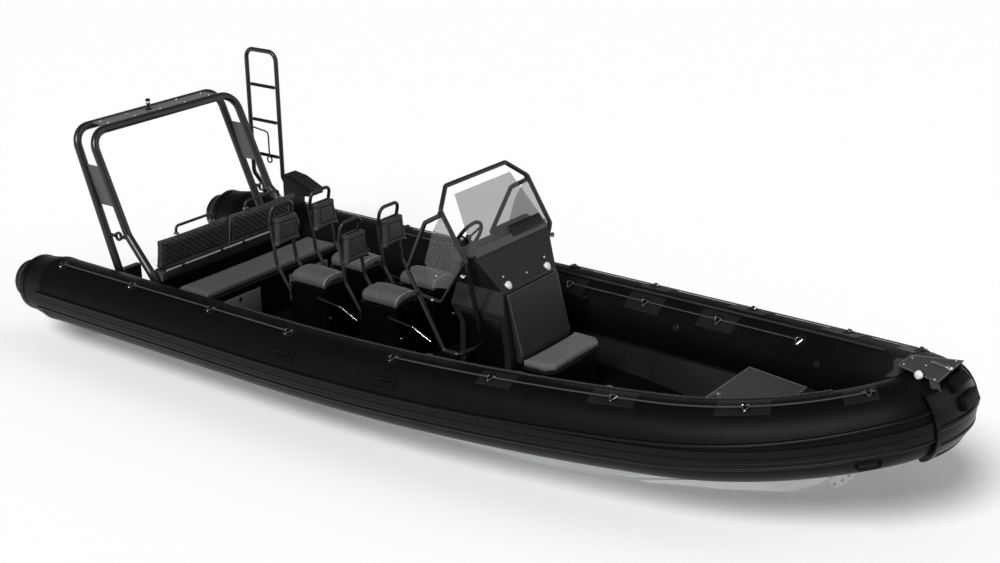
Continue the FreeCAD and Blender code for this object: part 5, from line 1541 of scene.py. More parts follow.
@dataclass
class Bench:
    """The stern bench: cushion, bolster, quilted backs, rails and locker base."""

    half: float = 0.858
    cushion_x: tuple[float, float] = (-2.642, -2.248)
    cushion_z: tuple[float, float] = (0.6105, 0.690)
    cushion_cloth: Upholstery = Upholstery(voxel=0.013, cap=0.014, shrink=0.009)
    cushion_seam_y: float = 0.29
    board_rise: float = 0.014
    board_in: float = 0.012
    board_thick: float = 0.018
    hinge_y: float = 0.705
    hinge_half: float = 0.030
    bolster_x: tuple[float, float] = (-2.930, -2.775)
    bolster_z: tuple[float, float] = (0.690, 0.800)
    bolster_cloth: Upholstery = Upholstery(voxel=0.012, cap=0.012, shrink=0.007)
    bolster_seam_y: float = 0.286
    roll_joints: tuple = (-0.62, -0.14, 0.14, 0.62)
    strip_gap: float = 0.016
    back_low_x: float = -2.810
    back_lean: float = 0.045
    back_thick: float = 0.075
    back_z: tuple[float, float] = (0.800, 1.100)
    back_y: tuple[float, float] = (0.006, 0.878)
    back_cloth: Upholstery = Upholstery(voxel=0.012, cap=0.012, shrink=0.009)
    quilt_pitch: float = 0.050
    quilt_stretch: float = 1.3
    quilt_depth: float = 0.007
    quilt_width: float = 0.006
    quilt_rim: float = 0.035
    sockets_y: tuple = (-0.652, -0.219, 0.219, 0.652)
    socket: tuple = ((0.026, 0.0), (0.026, 0.008), (0.018, 0.012), (0.0135, 0.016))
    front_x: float = -2.268
    door_y: float = 0.45
    door_half: float = 0.26
    door_z: tuple[float, float] = (0.31, 0.56)
    catch_z: float = 0.52

    def build(self) -> None:
        """Builds and dresses the bench."""
        coat(GELCOAT, "bench_base")
        coat(BLACK_COAT, "bench_rails")
        self._cushion()
        self._bolster()
        self._bolster_trim()
        self._backs()
        self._front()

    def _cushion(self) -> None:
        """Builds the seat cushion on its board, with stitched channels and piping."""
        (aft, fwd), (low, high) = self.cushion_x, self.cushion_z
        foot = low + self.board_rise
        outline = rectangle(self.cushion_x, (-self.half, self.half), foot)
        cloth = self.cushion_cloth
        made = cloth.blown(bevelled(outline, UP * (high - foot), 0.022), "bench_seat_cushion")
        tuck(made, 0.006)
        for y in (-self.cushion_seam_y, self.cushion_seam_y):
            sink(made, UP, 0.007, 0.008, lambda point, y=y: abs(point.y - y))
        cloth.dress(made, PAINTED_LIT_VINYL, "bench_lid", "bench_cushion")
        trim, board = bmesh.new(), bmesh.new()
        inset = 0.022
        edge = rectangle((aft + inset, fwd - inset), (inset - self.half, self.half - inset), high)
        add_piping(trim, made, edge, -UP)
        piece("bench_seat_piping", trim, PAINTED_LIT_VINYL, body="bench_lid")
        half = self.half - self.board_in
        add_block(board, (aft + self.board_in, -half, low),
                  (fwd - self.board_in, half, low + self.board_thick), 0.003)
        for side in SIDES.values():
            y = side * self.hinge_y
            add_block(board, (aft + 0.008, y - self.hinge_half, low - 0.012),
                      (aft + 0.024, y + self.hinge_half, low + 0.004), 0.002)
        piece("bench_seat_board", board, MOULDED, body="bench_lid")

    def _bolster(self) -> None:
        """Builds the roll under the backs, in three lengths."""
        (aft, fwd), (low, high) = self.bolster_x, self.bolster_z
        outline = upright(-self.half, ((aft, low), (fwd, low), (fwd, high), (aft, high)))
        cloth = self.bolster_cloth
        made = cloth.blown(bevelled(outline, PORT * 2 * self.half, 0.020), "bench_roll")
        for y in (-self.bolster_seam_y, self.bolster_seam_y):
            for facing in (UP, FORWARD):
                sink(made, facing, 0.008, 0.006, lambda point, y=y: abs(point.y - y))
        cloth.dress(made, VINYL, BODY, "bench_bolster")

    def _bolster_trim(self) -> None:
        """Builds the roll's pale edge strip of painted highlight, its brackets and its end caps.
        """
        (aft, fwd), (low, high) = self.bolster_x, self.bolster_z
        strip, joints, ends = bmesh.new(), bmesh.new(), bmesh.new()
        edge = Vector((fwd - 0.010, 0, high - 0.005))
        stops = (0.03 - self.half, *self.roll_joints, self.half - 0.03)
        for start, end in zip(stops, stops[1:]):
            add_swept(strip, [edge + PORT * (start + self.strip_gap),
                              edge + PORT * (end - self.strip_gap)], 0.0085)
        for y in self.roll_joints:
            add_block(joints, (fwd - 0.030, y - 0.013, high - 0.020),
                      (fwd + 0.006, y + 0.013, high + 0.006), 0.004)
        corners = ((aft + 0.014, low + 0.012), (fwd - 0.014, low + 0.012),
                   (fwd - 0.014, high - 0.030), (fwd - 0.034, high - 0.012),
                   (aft + 0.014, high - 0.012))
        for side in SIDES.values():
            outline = upright(side * (self.half - 0.002), corners)
            add_extruded(ends, softened(outline, 0.008), PORT * side * 0.008)
        piece("roll_edge_highlight_strip", strip, PAINTED_HIGHLIGHT_VINYL)
        piece("roll_brackets", joints, MOULDED)
        piece("roll_end_caps", ends, PAINTED_LIT_VINYL)

    def _backs(self) -> None:
        """Builds the two quilted backs."""
        low_z, high_z = self.back_z
        lean = Vector((self.back_lean, 0, high_z - low_z))
        facing = Vector((lean.z, 0, -lean.x)).normalized()
        cloth = self.back_cloth
        for word, side in SIDES.items():
            inner, outer = sorted(side * y for y in self.back_y)
            corner = Vector((self.back_low_x - self.back_thick, inner, low_z))
            thick = FORWARD * self.back_thick
            outline = [corner, corner + thick, corner + thick + lean, corner + lean]
            made = cloth.blown(bevelled(outline, PORT * (outer - inner), 0.020),
                               f"quilted_back_{word}")
            self._quilt(made, facing, low_z, lean.length)
            tuck(made, 0.005, (1, 2))
            cloth.dress(made, SEAT_VINYL, BODY)
            # the starboard back stands for the solid of both
            if side < 0:
                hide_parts("bench_backs")
            foot = Vector((self.back_low_x, 0, low_z + 0.022))
            left, right = PORT * (inner + 0.02), PORT * (outer - 0.02)
            top = lean * 0.86
            trim = bmesh.new()
            add_piping(trim, made, [foot + left, foot + right, foot + right + top,
                                    foot + left + top], -facing)
            piece(f"back_piping_{word}", trim, PAINTED_LIT_VINYL)
        sockets = bmesh.new()
        top_x = self.back_low_x + self.back_lean - self.back_thick / 2
        for y in self.sockets_y:
            add_turned(sockets, Vector((top_x, y, high_z - 0.006)), UP, self.socket)
        piece("rail_sockets", sockets, STAINLESS)

    def _quilt(self, made: bpy.types.Object, facing: Vector, low_z: float,
               height: float) -> None:
        """Presses a diamond quilt into a back's front face."""
        pitch, (inner, outer) = self.quilt_pitch, self.back_y
        normals = [vert.normal.copy() for vert in made.data.vertices]
        for vert, normal in zip(made.data.vertices, normals):
            across, up = vert.co.y, vert.co.z - low_z
            rim = min(up, height - up, abs(across) - inner - 0.004, outer - abs(across))
            if normal.dot(facing) < 0.5 or rim < self.quilt_rim:
                continue
            slants = [(across / self.quilt_stretch + turned) / pitch % 1.0 for turned in (up, -up)]
            off = min(min(part, 1 - part) for part in slants) * pitch / self.quilt_width
            vert.co -= facing * self.quilt_depth * math.exp(-off * off)

    def _front(self) -> None:
        """Builds the locker front's doors and catches."""
        doors, catches = bmesh.new(), bmesh.new()
        low, high = self.door_z
        for side in SIDES.values():
            y = side * self.door_y
            add_block(doors, (self.front_x - 0.002, y - self.door_half, low),
                      (self.front_x + 0.008, y + self.door_half, high), 0.006)
            add_turned(catches, Vector((self.front_x + 0.007, y, self.catch_z)), FORWARD, CATCH)
        piece("bench_doors", doors, GREY_COAT)
        piece("bench_catches", catches, STAINLESS)


@dataclass
class Jockeys:
    """The four straddle seats: saddle, back pad, hoop, pod and its door."""

    pod_aft: float = 0.200
    pod_fwd: float = 0.590
    pod_half: float = 0.145
    pod_top: float = 0.800
    saddle_aft: float = 0.190
    saddle_fwd: float = 0.600
    saddle_half: float = 0.154
    saddle_top: float = 0.914
    # share of the saddle's length and scale of its section
    saddle_stops: tuple = ((0.0, 0.86), (0.03, 0.93), (0.09, 0.985), (0.2, 1.0), (0.5, 1.0),
                           (0.8, 1.0), (0.97, 0.99), (1.0, 0.965))
    saddle_cloth: Upholstery = Upholstery(voxel=0.010, cap=0.011, shrink=0.006)
    # height, half width and x of the back pad's ends
    pad_low: tuple[float, float, float] = (1.080, 0.156, 0.008)
    pad_top: tuple[float, float, float] = (1.342, 0.124, -0.007)
    pad_thick: float = 0.062
    pad_cloth: Upholstery = Upholstery(voxel=0.007, cap=0.009, shrink=0.006)
    inset_share: float = 0.62
    inset_low: float = 0.062
    inset_top: float = 0.050
    shell_in: float = 0.014
    catch_y: float = 0.100
    catch_z: float = 0.522
    door_half: float = 0.111
    door_z: tuple[float, float] = (0.275, 0.765)
    # the footrest arm's line: x, distance outboard and height
    arm: tuple = ((0.50, -0.016, 0.720), (0.54, 0.0, 0.720), (0.79, 0.0, 0.694),
                  (0.80, 0.0, 0.688))
    rest: tuple = ((0.775, 0.697), (0.965, 0.612))
    rest_gap: float = 0.014
    feet_x: tuple[float, float] = (0.188, 0.203)
    feet_y: float = 0.118
    feet_z: tuple[float, float] = (0.610, 0.710)
    bead_half: float = 0.149

    def build(self) -> None:
        """Builds and dresses the four seats."""
        for name, (hoop_x, centre_y) in SEATS.items():
            coat(GELCOAT, f"pod_{name}", f"pod_door_{name}")
            coat(BLACK_COAT, f"hoop_{name}")
            self._saddle(name, hoop_x, centre_y)
            self._pad(name, hoop_x, centre_y)
            self._pod_fittings(name, hoop_x, centre_y)
            self._footrest(name, hoop_x, centre_y)

    def _section(self, share: float, scale: float) -> Outline:
        """Draws the saddle's section: a barrel on straight skirts.

        Args:
            share: The share of the saddle's length.
            scale: The section's scale.

        Returns:
            Distance across and height, in order.
        """
        half, foot = self.saddle_half * scale, self.pod_top
        crown = 0.94 + 0.06 * math.sin(math.pi * (0.25 + 0.5 * share))
        top = foot + (self.saddle_top - foot) * crown
        shoulder = foot + 0.042
        points = [(-half * 0.95, foot + 0.001), (half * 0.95, foot + 0.001)]
        for turn in (math.pi * index / 14 for index in range(15)):
            across = math.copysign(abs(math.cos(turn)) ** 0.82, math.cos(turn))
            points.append((half * across,
                           shoulder + (top - shoulder) * scale * math.sin(turn) ** 0.9))
        return points

    def _saddle(self, name: str, hoop_x: float, centre_y: float) -> None:
        """Builds a saddle with a pale front cord, which paints the highlight on its front edge."""
        mesh, trim = bmesh.new(), bmesh.new()
        aft, front = hoop_x + self.saddle_aft, hoop_x + self.saddle_fwd
        bridge(mesh, [[mesh.verts.new((aft + (front - aft) * share, centre_y + y, z))
                       for y, z in self._section(share, scale)]
                      for share, scale in self.saddle_stops])
        cloth = self.saddle_cloth
        made = cloth.blown(mesh, f"seat_saddle_{name}")
        sink(made, UP, 0.004, 0.006, lambda point: abs(point.x - aft - 0.10))
        cloth.dress(made, PAINTED_LIT_VINYL, BODY, f"saddle_{name}")
        tree = surface_of(made)
        edge = [Vector((front - 0.016, centre_y + y * 0.97, z))
                for y, z in self._section(1.0, 0.995)[2:]]
        add_swept(trim, [tree.find_nearest(point)[0] for point in edge], 0.0042, 8)
        piece(f"saddle_highlight_cord_{name}", trim, PAINTED_HIGHLIGHT_VINYL)

    def _pad(self, name: str, hoop_x: float, centre_y: float) -> None:
        """Builds a back pad with its inset panel and its moulded shell."""
        (low_z, low_half, low_x), (top_z, top_half, top_x) = self.pad_low, self.pad_top
        outline = [Vector((hoop_x + x, centre_y + half, z)) for z, half, x in
                   ((low_z, -low_half, low_x), (low_z, low_half, low_x),
                    (top_z, top_half, top_x), (top_z, -top_half, top_x))]
        cloth = self.pad_cloth
        made = cloth.blown(bevelled(softened(outline, 0.035), FORWARD * self.pad_thick, 0.013),
                           f"seat_pad_{name}")

        def off_panel(point: Vector) -> float:
            """Measures how far a point is from the inset panel's outline."""
            share = (point.z - low_z) / (top_z - low_z)
            half = (low_half + (top_half - low_half) * share) * self.inset_share
            rise = max(low_z + self.inset_low - point.z, point.z - top_z + self.inset_top)
            return abs(max(abs(point.y - centre_y) - half, rise))

        sink(made, FORWARD, 0.008, 0.006, off_panel)
        tuck(made, 0.004, (1, 2))
        cloth.dress(made, SEAT_VINYL, BODY, f"pad_{name}")
        narrower = 1 - self.shell_in / 0.15
        back = [Vector((point.x - 0.004, centre_y + (point.y - centre_y) * narrower,
                        low_z + self.shell_in + (point.z - low_z) * 0.9)) for point in outline]
        shell = bevelled(softened(back, 0.030), FORWARD * 0.010, 0.003, 2)
        piece(f"pad_shell_{name}", shell, MOULDED)

    def _pod_fittings(self, name: str, hoop_x: float, centre_y: float) -> None:
        """Builds the pod's catch, the beads round its door and top, and the hoop's feet."""
        catch, door, feet, bead = bmesh.new(), bmesh.new(), bmesh.new(), bmesh.new()
        front = hoop_x + self.pod_fwd + 0.0145
        y = centre_y + math.copysign(self.catch_y, centre_y)
        add_block(catch, (front - 0.002, y - 0.018, self.catch_z - 0.022),
                  (front + 0.007, y + 0.018, self.catch_z + 0.023), 0.003)
        add_turned(catch, Vector((front + 0.006, y, self.catch_z)), FORWARD,
                   [(0.013, 0), (0.013, 0.003), (0.008, 0.004), (0.0, 0.0045)], 20)
        piece(f"pod_catch_{name}", catch, STAINLESS, body=f"door_{name}")
        low, high = self.door_z
        add_swept(door, [Vector((front, centre_y + across, z)) for across, z in
                         ((-self.door_half, low), (self.door_half, low),
                          (self.door_half, high), (-self.door_half, high))],
                  0.003, 6, closed=True)
        piece(f"pod_door_bead_{name}", door, STRAKE_RUBBER, body=f"door_{name}")
        for side in SIDES.values():
            y = centre_y + side * self.feet_y
            add_block(feet, (hoop_x + self.feet_x[0], y - 0.026, self.feet_z[0]),
                      (hoop_x + self.feet_x[1], y + 0.026, self.feet_z[1]), 0.004)
        piece(f"hoop_feet_{name}", feet, BLACK_COAT)
        corners = rectangle((hoop_x + self.pod_aft - 0.003, hoop_x + self.pod_fwd - 0.006),
                            (centre_y - self.bead_half, centre_y + self.bead_half),
                            self.pod_top - 0.006)
        add_swept(bead, corners, 0.005, 8, closed=True)
        piece(f"pod_bead_{name}", bead, STRAKE_RUBBER)

    def _footrest(self, name: str, hoop_x: float, centre_y: float) -> None:
        """Builds the footrest on the pod's outboard side."""
        arm, rest = bmesh.new(), bmesh.new()
        outboard = math.copysign(1.0, centre_y)
        y = centre_y + outboard * (self.pod_half + self.rest_gap)
        line = [Vector((hoop_x + x, y + outboard * in_from, z)) for x, in_from, z in self.arm]
        add_swept(arm, rounded(line, 0.03), 0.009)
        add_swept(rest, [Vector((hoop_x + x, y, z)) for x, z in self.rest], 0.0095, 12)
        piece(f"footrest_arm_{name}", arm, BLACK_COAT)
        piece(f"footrest_{name}", rest, STAINLESS)


# ---- console ------------------------------------------------------------

@dataclass
class Console:
    """The steering console: body, screen, rails, helm, lamps and the seat on its front."""

    # x and height of the edges of the sloping front panel and of the dash
    panel_low: tuple[float, float] = (0.598, 1.183)
    panel_high: tuple[float, float] = (0.417, 1.482)
    dash_high: tuple[float, float] = (0.200, 1.395)
    dash_low: tuple[float, float] = (0.100, 1.000)
    lamp_half: float = 0.268
    lamp_z: float = 1.214
    lens: tuple = ((0.029, 0.0), (0.029, 0.010), (0.024, 0.0155), (0.012, 0.018),
                   (0.0, 0.0185))
    bezel: tuple = ((0.0385, -0.002), (0.0385, 0.004), (0.036, 0.009), (0.031, 0.011),
                    (0.029, 0.008))
    stud: tuple = ((0.013, -0.001), (0.013, 0.003), (0.009, 0.007), (0.0, 0.009))
    middle_stud: tuple = ((0.011, -0.001), (0.011, 0.003), (0.007, 0.006), (0.0, 0.008))
    hood_half: float = 0.478
    pod_y: tuple[float, float] = (0.020, 0.440)
    # height on the panel's slope and distance out of it of the two trims' corners
    lip: tuple = ((1.464, 0.002), (1.464, 0.016), (1.470, 0.020), (1.520, 0.020),
                  (1.524, 0.012))
    binnacle: tuple = ((1.498, 0.012), (1.498, 0.032), (1.562, 0.030), (1.580, 0.012))
    # y, share of the way up the dash and radius of each dial
    dials: tuple = ((-0.285, 0.86, 0.042), (0.165, 0.84, 0.046), (0.290, 0.84, 0.046))
    # an outline's radius as a share of the dial's, and its height
    dial_rim: tuple = ((1.0, -0.002), (1.0, 0.008), (0.93, 0.011), (0.86, 0.006))
    dial_face: tuple = ((0.9, 0.0), (0.9, 0.004), (0.0, 0.0042))
    dial_start_deg: float = 225.0
    dial_tick_deg: float = 27.0
    dial_ticks: int = 11
    needle_deg: float = 160.0
    switches: int = 6
    switch_y: float = 0.10
    switch_spacing: float = 0.045
    switch_share: float = 0.56
    plotter: tuple[float, float] = (-0.20, 0.40)
    wheel: tuple[float, float, float] = (0.020, -0.060, 1.430)
    wheel_tilt_deg: float = 25.0
    wheel_radius: float = 0.165
    grip_steps: int = 64
    grip_ribs: int = 18
    grip_radius: float = 0.0152
    grip_rise: float = 0.0012
    wheel_cap: tuple = ((0.036, 0.010), (0.036, 0.015), (0.030, 0.020), (0.012, 0.023),
                        (0.0, 0.0235))
    door_y: float = 0.393
    door_thick: float = 0.009
    door: tuple = ((0.245, 0.300), (0.640, 0.300), (0.630, 0.700), (0.590, 0.960),
                   (0.200, 0.960), (0.245, 0.860))
    door_catch: tuple = ((0.020, 0.0), (0.020, 0.003), (0.012, 0.005), (0.0, 0.0055))
    # place, direction and radius of each clamp on the port rails
    clamps: tuple = (((0.372, 0.566, 1.436), (0.53, 0, -0.83), 0.0255),
                     ((-0.095, 0.564, 1.088), (0.38, 0, 0.92), 0.0245),
                     ((0.168, 0.577, 1.818), (0.53, 0, -0.83), 0.0245))
    # place and outline of each knob on the port rails
    knobs: tuple = (((0.396, 0.592, 1.350), ((0.011, -0.008), (0.011, 0.010), (0.020, 0.013),
                                             (0.020, 0.026), (0.014, 0.030), (0.0, 0.031))),
                    ((0.060, 0.578, 1.070), ((0.016, -0.010), (0.016, 0.006), (0.011, 0.012),
                                             (0.0, 0.014))),
                    ((0.090, 0.558, 1.275), ((0.012, -0.006), (0.012, 0.004), (0.007, 0.007),
                                             (0.0, 0.008))),
                    ((0.075, 0.558, 1.640), ((0.010, -0.006), (0.010, 0.004), (0.006, 0.006),
                                             (0.0, 0.007))))
    bead_place: tuple[float, float] = (0.4155, 1.486)
    bead_half: float = 0.488
    screen_foot: tuple[float, float] = (0.415, 1.482)
    screen_slope: tuple[float, float] = (-0.278, 0.430)
    screws_y: tuple = (-0.42, -0.21, 0.0, 0.21, 0.42)
    seat_x: tuple[float, float] = (0.780, 1.082)
    seat_half: float = 0.385
    seat_z: tuple[float, float] = (0.5805, 0.660)
    seat_cut: float = 0.070
    seat_rise: float = 0.014
    seat_cloth: Upholstery = Upholstery(voxel=0.010, cap=0.012, shrink=0.008)
    hinge_y: float = 0.205
    hinge_half: float = 0.030
    back_half: float = 0.360
    # the backrest's section, with its front's foot and head
    back: tuple = ((0.596, 1.178), (0.636, 1.178), (0.772, 0.675), (0.772, 0.584),
                   (0.700, 0.584), (0.694, 0.675))
    back_foot: tuple[float, float] = (0.772, 0.675)
    back_head: tuple[float, float] = (0.636, 1.178)
    back_cloth: Upholstery = Upholstery(voxel=0.011, cap=0.010, shrink=0.008)

    def build(self) -> None:
        """Builds and dresses the console."""
        coat(CONSOLE_COAT, "console_body")
        coat(GELCOAT, "front_seat_base")
        coat(BLACK_COAT, "console_rail", "throttle")
        coat(MOULDED, "steering_wheel")
        coat(CLEAR_SHEET, "windscreen")
        coat(SMOKED_SHEET, "screen_wings")
        self._lamps()
        self._brow()
        self._dials()
        self._switches()
        self._wheel_grip()
        self._side_panels()
        self._rail_fittings()
        self._screen_trim()
        self._seat_cushion()
        self._seat_back()

    def _panel_out(self) -> Vector:
        """Finds the direction that the sloping front panel faces."""
        (low_x, low_z), (high_x, high_z) = self.panel_low, self.panel_high
        return Vector((high_z - low_z, 0, low_x - high_x)).normalized()

    def _on_panel(self, y: float, z: float, out: float = 0.0) -> Vector:
        """Finds a point on the sloping front panel."""
        (low_x, low_z), (high_x, high_z) = self.panel_low, self.panel_high
        x = low_x + (z - low_z) / (high_z - low_z) * (high_x - low_x)
        return Vector((x, y, z)) + self._panel_out() * out

    def _dash_out(self) -> Vector:
        """Finds the direction that the dash faces."""
        (low_x, low_z), (high_x, high_z) = self.dash_low, self.dash_high
        return Vector((low_z - high_z, 0, high_x - low_x)).normalized()

    def _on_dash(self, y: float, share: float) -> Vector:
        """Finds a point on the dash that faces the helm."""
        (low_x, low_z), (high_x, high_z) = self.dash_low, self.dash_high
        return Vector((low_x + (high_x - low_x) * share, y, low_z + (high_z - low_z) * share))

    def _lamps(self) -> None:
        """Builds the two lamps with their bezels, and the small fasteners above them."""
        out = self._panel_out()
        lens, bezel, studs = bmesh.new(), bmesh.new(), bmesh.new()
        for side in SIDES.values():
            base = self._on_panel(side * self.lamp_half, self.lamp_z)
            add_turned(lens, base, out, self.lens, 32)
            add_turned(bezel, base, out, self.bezel, 32)
            above = self._on_panel(side * (self.lamp_half + 0.012), self.lamp_z + 0.066)
            add_turned(studs, above, out, self.stud, 20)
        add_turned(studs, self._on_panel(0.0, self.lamp_z + 0.022), out, self.middle_stud, 20)
        made = piece("console_lamp_lenses", lens, LENS)
        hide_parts("console_lamps")
        piece("console_lamp_bezels", bezel, STAINLESS)
        piece("console_studs", studs, STAINLESS)

    def _brow(self) -> None:
        """Builds the hood over the dash, its lip, and the instrument pod on its port half."""
        (top_x, top_z), (aft_x, aft_z) = self.panel_high, self.dash_high
        half, (low_y, high_y) = self.hood_half, self.pod_y
        hood = upright(-half, ((top_x - 0.003, top_z - 0.004), (top_x - 0.006, top_z + 0.003),
                               (aft_x + 0.010, top_z + 0.006), (aft_x - 0.010, top_z - 0.006),
                               (aft_x - 0.010, top_z - 0.030), (aft_x + 0.004, aft_z - 0.002)))
        piece("console_hood", bevelled(hood, PORT * 2 * half, 0.003, 2), BROW_COAT)
        foot, across = top_z + 0.004, PORT * (high_y - low_y)
        pod = upright(low_y, ((aft_x + 0.015, foot), (top_x - 0.035, foot),
                              (top_x - 0.075, foot + 0.055), (aft_x + 0.045, foot + 0.075)))
        piece("instrument_pod", bevelled(pod, across, 0.010), CONSOLE_COAT)
        lip = bmesh.new()
        add_extruded(lip, [self._on_panel(-half, z, out) for z, out in self.lip],
                     PORT * 2 * half)
        piece("hood_lip", lip, BROW_COAT, crease_deg=20)
        binnacle = [self._on_panel(low_y, z, out) for z, out in self.binnacle]
        piece("binnacle", bevelled(binnacle, across, 0.006), MOULDED)

    def _dials(self) -> None:
        """Builds the round dials at the helm with their marks and needles."""
        rims, faces, marks = bmesh.new(), bmesh.new(), bmesh.new()
        out = self._dash_out()
        up = out.cross(PORT)
        if up.z < 0:
            up = -up
        for y, share, radius in self.dials:
            base = self._on_dash(y, share)
            add_turned(rims, base, out, [(radius * part, rise) for part, rise in self.dial_rim],
                       36)
            add_turned(faces, base, out, [(radius * part, rise) for part, rise in self.dial_face],
                       36)

            def point(turn_deg: float, reach: float, rise: float) -> Vector:
                """Finds a point over the dial's face."""
                turn = math.radians(turn_deg)
                way = PORT * math.cos(turn) + up * math.sin(turn)
                return base + out * rise + way * radius * reach

            for tick in range(self.dial_ticks):
                turn = self.dial_start_deg - self.dial_tick_deg * tick
                add_swept(marks, [point(turn, 0.66, 0.0047), point(turn, 0.81, 0.0047)],
                          0.0009, 5)
            add_swept(marks, [point(self.needle_deg, 0.0, 0.006),
                              point(self.needle_deg, 0.6, 0.006)], 0.0012, 5)
        piece("dial_rims", rims, STAINLESS)
        piece("dial_faces", faces, MOULDED)
        piece("dial_marks", marks, LENS)

    def _switches(self) -> None:
        """Builds the switches and the blank instrument screen at the helm."""
        mesh = bmesh.new()
        for index in range(self.switches):
            centre = self._on_dash(self.switch_y + self.switch_spacing * index,
                                   self.switch_share)
            add_block(mesh, (-0.004, -0.015, -0.026), (0.010, 0.015, 0.026), 0.003, 2)
            self._settle(mesh, centre)
        add_block(mesh, (-0.004, -0.13, -0.085), (0.012, 0.13, 0.085), 0.006)
        self._settle(mesh, self._on_dash(*self.plotter))
        piece("dash_switches", mesh, MOULDED)

    def _settle(self, mesh: Mesh, centre: Vector) -> None:
        """Turns the block just added from the origin onto the dash."""
        out = self._dash_out()
        turn = Matrix((out, PORT, out.cross(PORT))).transposed()
        for vert in mesh.verts:
            if not vert.tag:
                vert.co = centre + turn @ vert.co
                vert.tag = True

    def _wheel_grip(self) -> None:
        """Builds the wheel's moulded grip and its hub's cap."""
        tilt = math.radians(self.wheel_tilt_deg)
        centre, inward = Vector(self.wheel), Vector((math.cos(tilt), 0, -math.sin(tilt)))
        up = inward.cross(PORT)
        grip, hub = bmesh.new(), bmesh.new()
        rings = []
        for turn in (2 * math.pi * index / self.grip_steps for index in range(self.grip_steps)):
            way = PORT * math.cos(turn) + up * math.sin(turn)
            radius = self.grip_radius + self.grip_rise * (math.cos(turn * self.grip_ribs) > 0.2)
            rings.append(add_ring(grip, centre + way * self.wheel_radius, way, inward, radius,
                                  12))
        bridge(grip, rings, closed=True)
        piece("wheel_grip", grip, STRAKE_RUBBER, body="helm_wheel")
        add_turned(hub, centre, -inward, self.wheel_cap, 32)
        piece("wheel_cap", hub, STAINLESS, body="helm_wheel")

    def _side_panels(self) -> None:
        """Builds the black side doors and their catches."""
        for word, side in SIDES.items():
            outline = upright(side * self.door_y, self.door)
            panel = bevelled(outline, PORT * side * self.door_thick, 0.003, 2)
            piece(f"console_door_{word}", panel, GELCOAT)
            catch = bmesh.new()
            add_turned(catch, Vector((0.300, side * (self.door_y + 0.008), 0.62)), PORT * side,
                       self.door_catch)
            piece(f"console_catch_{word}", catch, STAINLESS)

    def _rail_fittings(self) -> None:
        """Builds the clamps that hold the rails to each other and to the screen."""
        clamps, knobs = bmesh.new(), bmesh.new()
        for side in SIDES.values():
            mirror = Vector((1, side, 1))
            for place, axis, radius in self.clamps:
                way = Vector(axis).normalized()
                add_turned(clamps, Vector(place) * mirror - way * 0.020, way,
                           [(0.019, 0.0), (radius, 0.003), (radius, 0.037), (0.019, 0.040)], 20)
            for place, outline in self.knobs:
                add_turned(knobs, Vector(place) * mirror, PORT * side, outline, 20)
        piece("rail_clamps", clamps, MOULDED)
        piece("rail_knobs", knobs, STAINLESS)

    def _screen_trim(self) -> None:
        """Builds the black bead at the screen's foot and its fixing screws."""
        bead, screws = bmesh.new(), bmesh.new()
        x, z = self.bead_place
        add_swept(bead, [Vector((x, -self.bead_half, z)), Vector((x, self.bead_half, z))],
                  0.006, 8)
        (foot_x, foot_z), (run, rise) = self.screen_foot, self.screen_slope
        slope = Vector((run, 0, rise)).normalized()
        out = Vector((slope.z, 0, -slope.x))
        for y in self.screws_y:
            add_bolt(screws, Vector((foot_x, y, foot_z)) + slope * 0.028 + out * 0.009, out,
                     0.005)
        piece("screen_bead", bead, STRAKE_RUBBER)
        piece("screen_screws", screws, STAINLESS)

    def _plan(self, inset: float, side_inset: float, z: float) -> list[Vector]:
        """Draws the front seat's plan with its cut corners.

        Args:
            inset: How far its front and back edges are drawn in.
            side_inset: How far its sides are drawn in.
            z: Its height.

        Returns:
            The corners in order.
        """
        aft, fwd = self.seat_x[0] + inset, self.seat_x[1] - inset
        half, cut = self.seat_half - side_inset, self.seat_cut
        return [Vector((aft, -half, z)), Vector((fwd - cut, -half, z)),
                Vector((fwd, cut - half, z)), Vector((fwd, half - cut, z)),
                Vector((fwd - cut, half, z)), Vector((aft, half, z))]

    def _seat_cushion(self) -> None:
        """Builds the front seat's lid cushion on its board."""
        (low, high), fwd, cloth = self.seat_z, self.seat_x[1], self.seat_cloth
        foot = low + self.seat_rise
        made = cloth.blown(bevelled(self._plan(0, 0, foot), UP * (high - foot), 0.020),
                           "front_seat_pad")
        cloth.dress(made, PAINTED_LIT_SEAT_TOP_VINYL, "front_seat_lid", "front_seat_cushion")
        trim = bmesh.new()
        add_piping(trim, made, self._plan(0.020, 0.020, high), -UP)
        piece("front_seat_piping", trim, PAINTED_LIT_SEAT_TOP_VINYL, body="front_seat_lid")
        board = bevelled(self._plan(0.010, 0.012, low), UP * 0.018, 0.003, 2)
        for side in SIDES.values():
            y = side * self.hinge_y
            add_block(board, (fwd - 0.028, y - self.hinge_half, low - 0.012),
                      (fwd - 0.012, y + self.hinge_half, low + 0.004), 0.002)
        piece("front_seat_board", board, MOULDED, body="front_seat_lid")

    def _seat_back(self) -> None:
        """Builds the padded back on the console's front."""
        cloth = self.back_cloth
        form = bevelled(upright(-self.back_half, self.back), PORT * 2 * self.back_half, 0.016)
        made = cloth.blown(form, "front_seat_backrest")
        cloth.dress(made, VINYL, BODY, "front_seat_back")
        foot, head = upright(0.0, (self.back_foot, self.back_head))
        out = Vector((head.z - foot.z, 0, foot.x - head.x)).normalized()
        head = foot.lerp(head, 0.965)
        across = PORT * (self.back_half - 0.016)
        trim = bmesh.new()
        add_piping(trim, made, [foot - across, head - across, head + across, foot + across],
                   -out, closed=False)
        piece("backrest_piping", trim, PAINTED_LIT_VINYL)


# ---- studio -------------------------------------------------------------

